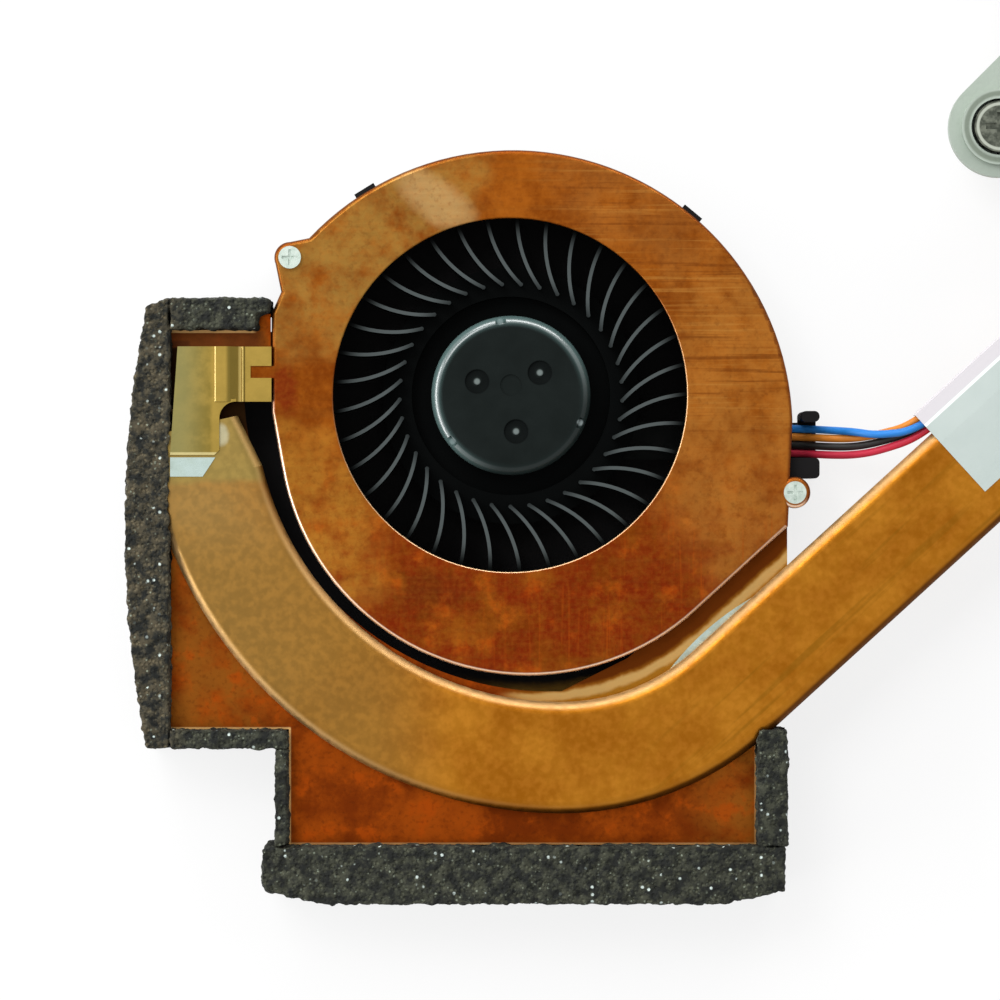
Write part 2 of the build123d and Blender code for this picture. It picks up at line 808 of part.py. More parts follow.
# Brass clip: a pad on the pipe's tip, and a strip that steps down to a forked end on the cover's tongue
clip_end = left_edge_x
clip_flat_x = clip_end - clip_flat_l
clip_slope_x = clip_flat_x - clip_slope_l
clip_left_x = clip_slope_x - clip_crest_l
clip_pad_x = clip_left_x + clip_lap
clip_top_y = tongue_high + clip_past_tongue
clip_strip_low = clip_top_y - clip_strip_l
clip_foot = clip_top_y - clip_pad_l
crest_z = pipe_top + 1.5 * clip_t
flat_z = fan_h + clip_t / 2
with BuildPart() as pipe_clip:
    with BuildSketch(Plane.XZ.offset(-clip_top_y)):
        with BuildLine():
            FilletPolyline(
                (clip_left_x, crest_z),
                (clip_slope_x, crest_z),
                (clip_flat_x, flat_z),
                (clip_end, flat_z),
                radius=clip_bend_r,
            )
        trace(line_width=clip_t)
        with Locations((clip_flat_x + 2 * clip_rib_r, fan_h + clip_t + clip_rib_rise - clip_rib_r)):
            Circle(clip_rib_r)
    extrude(amount=clip_strip_l)
    crest_edges = pipe_clip.edges().filter_by(Axis.Y).group_by(Axis.Z)[-1]
    fillet(crest_edges.sort_by(Axis.X)[0], clip_edge_r)
    with BuildSketch(Plane.XY.offset(pipe_top)):
        with BuildLine():
            Polyline(
                (clip_pad_x - clip_pad_w, clip_top_y),
                (clip_pad_x, clip_top_y),
                (clip_pad_x, clip_foot + clip_corner),
                (clip_pad_x - clip_corner, clip_foot),
                (clip_pad_x - clip_pad_w - clip_flare, clip_foot),
                close=True,
            )
        make_face()
        web_low = clip_strip_low - clip_fillet
        add(block_sketch(clip_pad_x, web_low, clip_pad_x + clip_fillet, clip_strip_low + clip_t))
        with Locations((clip_pad_x + clip_fillet, web_low)):
            Circle(clip_fillet, mode=Mode.SUBTRACT)
    extrude(amount=clip_t)
    with BuildSketch(Plane.XY.offset(fan_h)):
        add(block_sketch(clip_end - clip_notch_l, tongue_low, clip_end + clip_t, tongue_high))
    extrude(amount=2 * clip_t, mode=Mode.SUBTRACT)
finish(pipe_clip, "pipe_clip")

# Solder: a patch below the clip, and a lens along the pipe's inner foot
solder_x = clip_pad_x - clip_pad_w - clip_flare
solder_y = clip_foot - solder_gap
with BuildPart() as clip_solder:
    with BuildSketch(Plane.XY.offset(pipe_top)):
        with BuildLine():
            Polyline(
                (solder_x, solder_y),
                (solder_x + solder_l, solder_y),
                (solder_x + solder_end_l, solder_y - solder_w),
                (solder_x, solder_y - solder_w),
                close=True,
            )
        make_face()
    extrude(amount=solder_t)
finish(clip_solder, "clip_solder")

band_out = pipe_w / 2 - band_tuck
band_turn_start = run_angle - 90 - band_turn
with BuildPart() as pipe_solder:
    with BuildSketch(Plane.XY.offset(plate_high)):
        with BuildLine():
            foot = CenterArc((pipe_x, right_sweep_y), right_sweep_r - band_out, band_turn_start, band_turn)
            foot_run = Line(foot @ 1, foot @ 1 + Vector(run_x, run_y) * band_run)
            ThreePointArc(foot @ 0, foot @ 1 + Vector(-run_y, run_x) * band_w, foot_run @ 1)
        make_face()
    extrude(amount=solder_t)
finish(pipe_solder, "pipe_solder")

# Cold plate: a plug in the bracket's window and a flange below it
bracket_low = plate_high - bracket_t
with BuildPart() as cold_plate:
    with BuildSketch(Plane.XY.offset(bracket_low - flange_t)):
        with Locations((cpu_x, cpu_y)):
            Rectangle(plug_x + 2 * flange_w, plug_y + 2 * flange_w)
    extrude(amount=flange_t)
    with BuildSketch(Plane.XY.offset(bracket_low)):
        with Locations((cpu_x, cpu_y)):
            Rectangle(plug_x - 2 * plug_clear, plug_y - 2 * plug_clear)
    extrude(amount=bracket_t)
finish(cold_plate, "cold_plate")

# Cast bracket: two crossed arms with a cup at each end
cup_r = head_r + head_clear
with BuildPart() as cpu_bracket:
    with BuildSketch(Plane.XY.offset(bracket_low)):
        with Locations((cpu_x, cpu_y)):
            SlotCenterToCenter(screw_pitch * math.sqrt(2), arm_w, rotation=45)
            SlotCenterToCenter(screw_pitch * math.sqrt(2), arm_w, rotation=-45)
            Rectangle(bracket_body, bracket_body)
            Rectangle(plug_x, plug_y, mode=Mode.SUBTRACT)
    extrude(amount=bracket_t)
    with BuildSketch(Plane.XY.offset(cup_low)):
        with Locations((cpu_x, cpu_y)):
            with GridLocations(screw_pitch, screw_pitch, 2, 2):
                Circle(cup_r + cup_wall)
    extrude(amount=plate_high - cup_low)
    with BuildSketch(Plane.XY.offset(plate_high)):
        with Locations((cpu_x, cpu_y)):
            with GridLocations(screw_pitch, screw_pitch, 2, 2):
                Circle(ring_r)
    extrude(amount=ring_h)
    with BuildSketch(Plane.XY.offset(cup_low + cup_floor)):
        with Locations((cpu_x, cpu_y)):
            with GridLocations(screw_pitch, screw_pitch, 2, 2):
                Circle(cup_r)
    extrude(amount=fan_h, mode=Mode.SUBTRACT)
    with BuildSketch(Plane.XY.offset(cup_low)):
        with Locations((cpu_x, cpu_y)):
            with GridLocations(screw_pitch, screw_pitch, 2, 2):
                Circle(shank_r + shank_clear)
    extrude(amount=cup_floor, mode=Mode.SUBTRACT)
finish(cpu_bracket, "cpu_bracket")

# Captive screws, each with a spring under its head and a retaining ring under the cup
head_low = cup_low + cup_floor + spring_h
thread_top = cup_low - clip_ring_gap - clip_ring_t - neck_gap
screw_spots = GridLocations(screw_pitch, screw_pitch, 2, 2).locations
coil_h = spring_h - 2 * spring_wire_r - 2 * spring_gap
coil_low = cup_low + cup_floor + spring_wire_r + spring_gap
for number, spot in enumerate(screw_spots, start=1):
    x = cpu_x + spot.position.X
    y = cpu_y + spot.position.Y
    with BuildPart() as cpu_screw:
        with BuildSketch(Plane((x, y, head_low))):
            Circle(head_r)
        extrude(amount=head_h)
        with BuildSketch(Plane((x, y, screw_tip))):
            Circle(shank_r)
        extrude(amount=thread_top - screw_tip)
        with BuildSketch(Plane((x, y, thread_top))):
            Circle(neck_r)
        extrude(amount=head_low - thread_top)
        with BuildSketch(Plane((x, y, head_low + head_h))):
            Rectangle(cross_l, cross_w)
            Rectangle(cross_w, cross_l)
        extrude(amount=-cross_depth, mode=Mode.SUBTRACT)
    finish(cpu_screw, f"cpu_screw_{number}")
    with BuildPart() as screw_ring:
        with BuildSketch(Plane((x, y, cup_low - clip_ring_gap))):
            Circle(clip_ring_r)
            Circle(neck_r, mode=Mode.SUBTRACT)
        extrude(amount=-clip_ring_t)
    finish(screw_ring, f"screw_ring_{number}")
    with BuildPart() as screw_spring:
        with BuildLine() as coil:
            Helix(coil_h / spring_turns, coil_h, spring_r, center=(x, y, coil_low))
        with BuildSketch(Plane(origin=coil.line @ 0, z_dir=coil.line % 0)):
            Circle(spring_wire_r)
        sweep(is_frenet=True)
    finish(screw_spring, f"screw_spring_{number}")

# Wires: along the board's tail, out of the housing, along the pipe under the tape, down to the plug
across_flat = {"blue": (1.5, 0), "orange": (0.5, 0), "black": (-0.5, 0), "red": (-1.5, 0)}
across_lift = {"blue": (1.35, 0.65), "orange": (0.6, -0.3), "black": (-0.4, -0.3), "red": (-1.4, 0)}
across_half = {"blue": (0.85, 0.75), "orange": (0.85, -0.45), "black": (-0.1, -0.5), "red": (-1.1, 0)}
across_tied = {"blue": (-0.3, 0.7), "orange": (0.52, -0.15), "black": (-0.33, -0.7), "red": (-1.15, -0.15)}
across_fan = {"blue": (0.4, 0.5), "orange": (1.25, 0), "black": (-0.4, -0.5), "red": (-1.25, 0)}
across_plug = {"blue": (0.5, 0), "orange": (1.5, 0), "black": (-0.5, 0), "red": (-1.5, 0)}
bundle_side = pipe_w / 2 + bundle_gap
plug_at = (lug_screw_x + plug_from_lug_x, lug_screw_y - plug_from_lug_y)


def beside_run(along, side):
    """Place beside the pipe's slanted run, by its distance along the run and from its middle."""
    return (run_start[0] + along * run_x - side * run_y, run_start[1] + along * run_y + side * run_x)


wire_route = (
    (tail_end_x - 1.2, lead_y, 1.95, across_flat),
    (right_corner_x + 1.2, lead_y - 0.06, 3.2, across_flat),
    (right_corner_x + 6.0, lead_y - 0.36, 5.4, across_flat),
    (right_corner_x + 8.4, lead_y - 0.4, 6.6, across_lift),
    (*beside_run(33.2, bundle_side + 1.9), 7.8, across_half),
    (*beside_run(37.6, bundle_side), 9.6, across_tied),
    (*beside_run(44.3, bundle_side), 9.95, across_tied),
    (*beside_run(51.3, bundle_side), 9.85, across_tied),
    (*beside_run(58.2, bundle_side), 9.9, across_tied),
    (*beside_run(63.4, bundle_side + 0.9), 8.4, across_fan),
    (plug_at[0] - 0.2, plug_at[1] - 12.5, 5.3, across_plug),
    (plug_at[0] + 0.1, plug_at[1] - 7.9, 2.5, across_plug),
    (plug_at[0], plug_at[1] - 3.6, 1.4, across_plug),
    (*plug_at, 1.4, across_plug),
)


def wire_points(colour):
    """One wire's points: the bundle's route, moved to the wire's place across it."""
    points = []
    for index, (x, y, z, places) in enumerate(wire_route):
        before = wire_route[max(index - 1, 0)]
        after = wire_route[min(index + 1, len(wire_route) - 1)]
        heading = Vector(after[0] - before[0], after[1] - before[1]).normalized()
        side, up = places[colour]
        shift = Vector(-heading.Y * side, heading.X * side, up) * wire_pitch
        points.append(Vector(x, y, z) + shift)
    return points


def cord_radii(points):
    """As large an arc at each corner as its two runs allow."""
    radii = []
    for before, corner, after in zip(points, points[1:], points[2:]):
        turn = (corner - before).get_angle(after - corner)
        shorter = min((corner - before).length, (after - corner).length)
        radii.append(0.45 * shorter / math.tan(math.radians(turn) / 2))
    return radii


for colour in across_flat:
    points = wire_points(colour)
    radii = cord_radii(points)
    with BuildPart() as wire:
        with BuildLine():
            route = FilletPolyline(*points, radius=radii)
        with BuildSketch(Plane(origin=route @ 0, z_dir=route % 0)):
            Circle(wire_d / 2)
        sweep()
    expected = math.pi * wire_d**2 / 4 * route.length
    print(f"wire_{colour}", "length", round(route.length, 1), "smallest radius", round(min(radii), 1))
    print("volume against section times length", round(wire.part.volume / expected, 4))
    finish(wire, f"wire_{colour}")

plug_start = wire_route[-1]
with BuildPart() as fan_plug:
    with BuildSketch():
        with Locations((plug_start[0], plug_start[1] + fan_plug_l / 2)):
            Rectangle(fan_plug_w, fan_plug_l)
    extrude(amount=fan_plug_h)
    chamfer(fan_plug.edges().filter_by(Axis.Y).group_by(Axis.Z)[-1], fan_plug_pin_r)
    with BuildSketch(Plane.XZ.offset(-plug_start[1] - fan_plug_l)):
        with Locations((plug_start[0], fan_plug_h / 2)):
            with GridLocations(wire_pitch, wire_pitch, 4, 1):
                Circle(fan_plug_pin_r)
    extrude(amount=fan_plug_pin_depth, mode=Mode.SUBTRACT)
finish(fan_plug, "fan_plug")

# Tape over the pipe and the wires beside it
bundle_out = pipe_w / 2 + 2 * wire_pitch + wire_d
bundle_top = pipe_mid + wire_pitch + wire_d / 4
tape_at = (run_start[0] + tape_start * run_x, run_start[1] + tape_start * run_y)
tape_plane = Plane(origin=(*tape_at, 0), x_dir=(run_y, -run_x, 0), z_dir=(run_x, run_y, 0))
half_tape = tape_t / 2
with BuildPart() as wire_tape:
    with BuildSketch(tape_plane):
        with BuildLine():
            Polyline(
                (tape_past_axis, -pipe_top - half_tape),
                (-pipe_w / 2 + pipe_t / 2, -pipe_top - half_tape),
                (-bundle_out, -bundle_top - half_tape),
                (-bundle_out - half_tape, -bundle_top + tape_drop),
            )
        trace(line_width=tape_t)
    extrude(amount=tape_l)
finish(wire_tape, "wire_tape")
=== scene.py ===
# %% [markdown]
# A laptop cooler seen from straight above: a copper-covered blower, a flattened heat pipe swept round it,
# two finned outlets sealed with foam, four fan wires, and a cast bracket at the processor end.
# The solids come ready made and in place. This lesson gives them their finishes, and builds the soft
# pieces.

# %% Load the solids
import math

import bmesh
import bpy
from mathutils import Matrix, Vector, noise


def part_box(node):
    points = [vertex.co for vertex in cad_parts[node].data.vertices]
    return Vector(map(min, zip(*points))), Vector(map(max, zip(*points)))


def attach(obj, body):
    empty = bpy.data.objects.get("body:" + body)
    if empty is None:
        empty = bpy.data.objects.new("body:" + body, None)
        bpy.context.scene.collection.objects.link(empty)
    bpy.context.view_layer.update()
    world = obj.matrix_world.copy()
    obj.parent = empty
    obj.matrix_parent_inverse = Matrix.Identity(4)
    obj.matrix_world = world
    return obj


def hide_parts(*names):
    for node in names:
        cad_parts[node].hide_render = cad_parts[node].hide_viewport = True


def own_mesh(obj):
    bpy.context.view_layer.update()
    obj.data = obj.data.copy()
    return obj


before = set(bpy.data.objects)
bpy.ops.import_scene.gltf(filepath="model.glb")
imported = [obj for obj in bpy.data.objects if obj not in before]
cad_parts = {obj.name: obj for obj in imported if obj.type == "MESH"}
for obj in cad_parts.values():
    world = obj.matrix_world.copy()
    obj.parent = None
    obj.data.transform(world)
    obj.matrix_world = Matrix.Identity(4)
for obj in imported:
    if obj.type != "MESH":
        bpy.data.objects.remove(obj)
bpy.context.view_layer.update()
MM = 0.001

# %% [markdown]
# The photograph looks straight down. A long lens from a good way up keeps the upright walls from leaning,
# and one pixel of the 1000 pixel frame is 0.12 mm on the fan's cover.

# %% Camera
PIXEL = 0.12 * MM
FRAME_PIXELS = 1000
AXIS_PIXEL = (511.0, 395.0)
COVER_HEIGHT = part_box("fan_cover")[1][2]
CAMERA_RISE = 0.6


def at_pixel(px, py):
    """Place on the cover's level that shows at a pixel of the photograph, in metres."""
    return ((px - AXIS_PIXEL[0]) * PIXEL, (AXIS_PIXEL[1] - py) * PIXEL)


camera_data = bpy.data.cameras.new("camera")
camera = bpy.data.objects.new("camera", camera_data)
bpy.context.scene.collection.objects.link(camera)
middle = at_pixel(FRAME_PIXELS / 2, FRAME_PIXELS / 2)
camera.location = (middle[0], middle[1], COVER_HEIGHT + CAMERA_RISE)
camera_data.sensor_width = 36.0
camera_data.lens = camera_data.sensor_width * CAMERA_RISE / (FRAME_PIXELS * PIXEL)
bpy.context.scene.camera = camera
print("lens", round(camera_data.lens, 1))

# %% [markdown]
# Shader maths reads best as plain arithmetic. Shade wraps one socket of a node tree and turns +, -, * and /
# into Math nodes. Paint makes a material and any other node that it needs, and Sky does so for the world.

# %% Shader helpers


class Shade:
    """One output socket, with Python's arithmetic."""

    def __init__(self, paint, socket):
        self.paint = paint
        self.socket = socket

    def _with(self, operation, first, second):
        return self.paint.node("ShaderNodeMath", {"operation": operation}, {0: first, 1: second})

    def __add__(self, other):
        return self._with("ADD", self, other)

    __radd__ = __add__

    def __sub__(self, other):
        return self._with("SUBTRACT", self, other)

    def __rsub__(self, other):
        return self._with("SUBTRACT", other, self)

    def __mul__(self, other):
        return self._with("MULTIPLY", self, other)

    __rmul__ = __mul__

    def __truediv__(self, other):
        return self._with("DIVIDE", self, other)

    def __rtruediv__(self, other):
        return self._with("DIVIDE", other, self)


class Paint:
    """A material with one Principled shader, and a short way to add nodes to it."""

    def __init__(self, name, **sockets):
        self.material = bpy.data.materials.new(name)
        self.material.use_nodes = True
        self.tree = self.material.node_tree
        self.shader = self.tree.nodes["Principled BSDF"]
        self.axes = {}
        self.feed(**sockets)

    def node(self, kind, settings=None, inputs=None, output=0):
        """Add a node: its settings first, then the values or links of its sockets."""
        made = self.tree.nodes.new(kind)
        for key, value in (settings or {}).items():
            setattr(made, key, value)
        for key, value in (inputs or {}).items():
            self.put(made.inputs[key], value)
        return Shade(self, made.outputs[output])

    def put(self, socket, value):
        """Link a Shade to a socket, or set the socket's value."""
        if isinstance(value, Shade):
            self.tree.links.new(value.socket, socket)
        else:
            socket.default_value = value

    def feed(self, **sockets):
        """Set the shader's own sockets, with _ for a space in their names."""
        for key, value in sockets.items():
            self.put(self.shader.inputs[key.replace("_", " ")], value)

    def place(self, stretch=(1.0, 1.0, 1.0), turn=0.0):
        """Object coordinates in millimetres, turned about the vertical and then stretched."""
        where = self.node("ShaderNodeTexCoord", output="Object")
        turned = self.node(
            "ShaderNodeMapping",
            None,
            {"Vector": where, "Rotation": (0.0, 0.0, turn), "Scale": (1 / MM, 1 / MM, 1 / MM)},
        )
        return self.node("ShaderNodeVectorMath", {"operation": "MULTIPLY"}, {0: turned, 1: stretch})

    def axis(self, name):
        """One object coordinate, in millimetres."""
        if name not in self.axes:
            self.axes[name] = self.node("ShaderNodeSeparateXYZ", None, {0: self.place()}, output=name)
        return self.axes[name]

    def facing(self, name):
        """How far the surface faces along one axis, from -1 to 1."""
        way = self.node("ShaderNodeTexCoord", output="Normal")
        return self.node("ShaderNodeSeparateXYZ", None, {0: way}, output=name)

    def reach(self, x, y):
        """Distance from an upright axis, in millimetres."""
        along = self.axis("X") - x
        across = self.axis("Y") - y
        return self.node("ShaderNodeMath", {"operation": "SQRT"}, {0: along * along + across * across})

    def band(self, value, low, high, soft):
        """Mask that is 1 between low and high, with soft sides."""
        return self.range(value, low - soft, low) * self.range(value, high + soft, high)

    def cloud(self, size, detail=4.0, stretch=(1.0, 1.0, 1.0), turn=0.0, rough=0.55):
        """Soft noise with features of about size millimetres."""
        return self.node(
            "ShaderNodeTexNoise",
            {"noise_dimensions": "3D"},
            {
                "Vector": self.place(stretch, turn),
                "Scale": 1.0 / size,
                "Detail": detail,
                "Roughness": rough,
            },
        )

    def range(self, value, low, high, start=0.0, end=1.0):
        """Value, taken from low..high to start..end and held there."""
        return self.node(
            "ShaderNodeMapRange",
            {"clamp": True, "interpolation_type": "SMOOTHSTEP"},
            {"Value": value, "From Min": low, "From Max": high, "To Min": start, "To Max": end},
        )

    def mix(self, share, first, second):
        """Second colour over the first, by share."""
        return self.node(
            "ShaderNodeMix",
            {"data_type": "RGBA"},
            {"Factor": share, 6: first, 7: second},
            output=2,
        )

    def bump(self, height, distance, strength=1.0):
        """Let a height, in units of distance millimetres, tilt the surface."""
        tilt = self.node(
            "ShaderNodeBump", None, {"Height": height, "Distance": distance * MM, "Strength": strength}
        )
        self.feed(Normal=tilt)


class Sky(Paint):
    """The world's light, with the same short way to add nodes."""

    def __init__(self, name):
        self.world = bpy.data.worlds.new(name)
        self.world.use_nodes = True
        self.tree = self.world.node_tree
        self.shader = self.tree.nodes["Background"]


def srgb(red, green, blue):
    """A colour as a picture shows it, 0 to 255, as linear light."""
    linear = []
    for value in (red, green, blue):
        share = value / 255
        linear.append(share / 12.92 if share <= 0.04045 else ((share + 0.055) / 1.055) ** 2.4)
    return (*linear, 1.0)


def dress(paint, *nodes):
    """Give a finish to solids of the frame."""
    for node in nodes:
        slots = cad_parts[node].data.materials
        slots.clear()
        slots.append(paint.material)


# %% [markdown]
# The cover is rolled copper sheet that has been hot for years: tan and olive where it is clean, red and
# brown where it is tarnished, with brush lines along X and one pale smear. Each effect is a mask, and the
# colours are laid over each other one mask at a time.


# %% Copper cover
def patch(paint, centre, half, turn, ragged, grain=1.2):
    """Mask of a soft-edged ellipse, by its centre and half sizes in millimetres."""
    along = paint.axis("X") - centre[0]
    across = paint.axis("Y") - centre[1]
    u = (along * math.cos(turn) + across * math.sin(turn)) / half[0]
    v = (across * math.cos(turn) - along * math.sin(turn)) / half[1]
    reach = u * u + v * v + (paint.cloud(grain) - 0.5) * ragged
    return paint.range(reach, 0.25, 1.5, 1.0, 0.0)


# Each clean area: centre, half sizes, turn, share and colour.
CLEAN_AREAS = (
    ((-17.0, 18.0), (17.0, 8.5), 0.75, 0.9, srgb(140, 104, 46)),
    ((27.0, -2.0), (10.0, 22.0), 0.0, 0.75, srgb(160, 102, 40)),
    ((15.0, 24.0), (13.0, 7.0), -0.6, 0.5, srgb(148, 92, 38)),
    ((-23.0, -15.0), (7.0, 12.0), 0.45, 0.85, srgb(158, 106, 36)),
)
SCORCH = ((-27.2, 0.6), (1.7, 3.0), 0.2)
SOOT = ((-9.8, -24.0), (4.2, 3.0), 0.2)
SMEAR = ((-8.9, 23.3), (5.6, 2.6), math.radians(-36))

cover = Paint("cover_copper", Metallic=1.0)
right = cover.axis("X")
up = cover.axis("Y")
blotch = cover.range(cover.cloud(7.0, 6.0, rough=0.65), 0.36, 0.64)
colour = cover.mix(blotch, srgb(110, 50, 8), srgb(138, 74, 17))
burn = cover.range(up, 0.0, -24.0) * cover.range(cover.cloud(5.0, 6.0, rough=0.7), 0.34, 0.58)
colour = cover.mix(burn, colour, srgb(112, 34, 8))
ember = cover.range(up, -4.0, -18.0) * cover.range(cover.cloud(3.5, 5.0), 0.54, 0.7)
colour = cover.mix(ember * 0.5, colour, srgb(172, 76, 14))
for centre, half, turn, share, shade in CLEAN_AREAS:
    area = patch(cover, centre, half, turn, 2.0, 4.0) * cover.range(cover.cloud(3.0, 5.0), 0.2, 0.6)
    colour = cover.mix(area * share, colour, shade)
brush = cover.cloud(1.0, 3.0, stretch=(0.05, 1.7, 1.0))
brushed = 0.06 + 0.6 * cover.range(right, 0.0, 12.0) * cover.range(up, -10.0, 2.0)
colour = cover.mix(cover.range(brush, 0.52, 0.68) * brushed, colour, srgb(92, 44, 12))
colour = cover.mix(cover.range(brush, 0.46, 0.3) * brushed * 0.7, colour, srgb(180, 124, 56))
weft = cover.cloud(1.0, 3.0, stretch=(1.7, 0.07, 1.0))
woven = cover.range(up, -8.0, -20.0, 0.0, 0.4) * cover.range(right, -4.0, 10.0, 0.4, 1.0)
colour = cover.mix(cover.range(weft, 0.54, 0.7) * woven, colour, srgb(160, 70, 14))
mottle = cover.range(cover.cloud(1.1, 5.0, rough=0.7), 0.46, 0.64)
colour = cover.mix(mottle * cover.range(up, -4.0, -16.0, 0.2, 0.4), colour, srgb(122, 60, 14))
soot = patch(cover, *SOOT, 3.0, 2.5)
colour = cover.mix(soot * 0.35, colour, srgb(80, 38, 10))
scorch = patch(cover, *SCORCH, 2.0)
colour = cover.mix(scorch * 0.6, colour, srgb(104, 26, 12))
smear = patch(cover, *SMEAR, 0.7, 2.0)
colour = cover.mix(smear * 0.8, colour, srgb(168, 134, 84))
grit = cover.range(cover.cloud(0.6, 3.0), 0.5, 0.72)
colour = cover.mix(grit * 0.26, colour, srgb(88, 40, 12))
fleck = cover.range(cover.cloud(0.7, 5.0), 0.35, 0.75)
colour = cover.mix(fleck * 0.16, colour, srgb(172, 100, 32))
print("cover nodes", len(cover.tree.nodes))

# %% [markdown]
# Edges are picked out by how far the surface tilts from level. A pale painted highlight lies on the cover's
# edges along its lower side, where they face down and to the left, and at the bottom of the inlet, where
# they face towards the top. Elsewhere the edges stay brown.

# %% Cover edges
INLET_R = 22.0
edge = cover.range(cover.facing("Z"), 0.99, 0.86)
inlet = cover.range(cover.reach(0.0, 0.0), INLET_R + 1.0, INLET_R)
inlet_highlight = inlet * cover.range(cover.facing("Y") - cover.facing("X") * 0.3, -0.25, 0.35)
low_side = cover.range(up, 2.0, -8.0) * (1.0 - inlet)
rim_highlight = low_side * cover.range(cover.facing("Y") * 0.8 + cover.facing("X") * 0.6, 0.2, -0.35)
colour = cover.mix(edge * (1.0 - inlet) * 0.6, colour, srgb(104, 50, 18))
# Painted highlights: on the inlet's lower edge, and on the cover's lower edges that face down and left.
colour = cover.mix(edge * inlet_highlight * 0.85, colour, srgb(222, 186, 144))
colour = cover.mix(edge * rim_highlight, colour, srgb(236, 206, 180))
cover.feed(Base_Color=colour)
cover.feed(Roughness=cover.range(brush + (blotch - 0.5) * 0.3, 0.2, 0.9, 0.34, 0.52))
cover.bump(brush, 0.01, 0.5)
dress(cover, "fan_cover")
print("cover finish", cover.material.name)

# %% [markdown]
# The fin plate is the same copper, burnt darker and more evenly. In the narrow strip between the cover and
# the pipe it carries a painted shadow at the cover, and is gold with flux at the pipe. Painted shade makes
# it darkest beside the brass clip.

# %% Copper fins
RUN_TURN = math.radians(42.4)
# The cover's lower arc: the X and Y of its centre, and its radius.
COVER_ARC = (2.01, -3.76, 29.95)
COVER_ARC_END_X = 22.2
CLIP_SHADE = ((-33.4, -2.4), (2.8, 3.6), 0.0)


def off_cover(paint):
    """Distance out from the cover's lower right edge, an arc and then a slanted line."""
    along = paint.axis("X")
    across = paint.axis("Y") - COVER_ARC[1]
    on_arc = paint.range(along, COVER_ARC_END_X + 1.0, COVER_ARC_END_X - 1.0)
    from_line = (along - COVER_ARC[0]) * math.sin(RUN_TURN) - across * math.cos(RUN_TURN)
    from_arc = paint.reach(COVER_ARC[0], COVER_ARC[1])
    return on_arc * from_arc + (1.0 - on_arc) * from_line - COVER_ARC[2]


plate = Paint("fin_copper", Metallic=1.0)
right = plate.axis("X")
up = plate.axis("Y")
blotch = plate.range(plate.cloud(6.0, 6.0, rough=0.65), 0.36, 0.64)
colour = plate.mix(blotch, srgb(106, 42, 8), srgb(144, 64, 12))
side = plate.range(right, -25.0, -33.0) + plate.range(right, 18.0, 28.0)
colour = plate.mix(side * plate.range(plate.cloud(4.0, 5.0), 0.3, 0.6) * 0.7, colour, srgb(132, 80, 24))
ember = plate.range(plate.cloud(3.0, 5.0), 0.54, 0.7)
colour = plate.mix(ember * 0.6, colour, srgb(162, 66, 10))
grit = plate.range(plate.cloud(0.6, 3.0), 0.5, 0.72)
colour = plate.mix(grit * 0.35, colour, srgb(76, 30, 8))
off = off_cover(plate) + (plate.cloud(2.0) - 0.5) * 0.7
strip = plate.range(right, -2.0, 2.0) * plate.range(off, 5.0, 4.2)
# Painted shadow of the cover: dark brown along its edge, in the strip.
colour = plate.mix(strip * plate.range(off, 2.6, 1.6), colour, srgb(88, 40, 8))
colour = plate.mix(strip * plate.range(off, 1.6, 2.6) * 0.9, colour, srgb(150, 104, 30))
colour = plate.mix(strip * plate.band(off, 2.5, 3.0, 0.5) * 0.9, colour, srgb(184, 148, 90))
# Painted shade under the clip's strip, and beside the pad's left side next to the foam.
shaded = patch(plate, *CLIP_SHADE, 0.3)
shaded = shaded + plate.range(right, -38.4, -39.0) * plate.band(up, -7.5, 6.4, 0.4)
colour = plate.mix(shaded, colour, srgb(34, 20, 8))
print("plate nodes", len(plate.tree.nodes))

# %% [markdown]
# The plate's edges get painted highlights: thin bright lines along the sides of the foam strips, whose
# places come from the solids. Below the upper strip the plate is dull.

# %% Painted highlights on the plate's edges
EDGE_W = 0.32
step_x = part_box("notch_foam")[1][0] / MM
step_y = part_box("step_foam")[1][1] / MM
head_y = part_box("top_foam")[0][1] / MM
low_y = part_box("bottom_foam")[1][1] / MM
end_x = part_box("right_foam")[0][0] / MM
# Thin bright lines of painted highlight along the plate's edges beside the foam.
highlit = plate.band(right, step_x, step_x + EDGE_W / 2, 0.16) * plate.range(up, step_y + 0.3, step_y)
highlit = highlit + plate.band(up, step_y, step_y + EDGE_W / 2, 0.16) * plate.range(right, step_x + 0.3, step_x)
highlit = highlit + plate.band(up, head_y - EDGE_W, head_y, 0.12) * plate.range(right, -30.5, -31.2)
highlit = highlit + plate.band(up, low_y, low_y + EDGE_W / 2, 0.16) * 0.6
highlit = highlit + plate.band(right, end_x - EDGE_W / 2, end_x, 0.16) * plate.range(up, -38.0, -42.0) * 0.6
dull = plate.band(up, head_y - 2.0, head_y - EDGE_W, 0.3) * plate.range(right, -29.0, -31.0)
colour = plate.mix(dull * 0.75, colour, srgb(92, 48, 24))
plate.feed(Base_Color=plate.mix(highlit * 0.85, colour, srgb(212, 168, 108)))
plate.feed(Roughness=plate.range(blotch, 0.0, 1.0, 0.5, 0.36))
plate.bump(plate.cloud(2.0, 4.0), 0.03, 0.4)
dress(plate, "fin_plate", "left_fins", "bottom_fins")
print("bare edges at", round(step_x, 1), round(step_y, 1), round(head_y, 1))
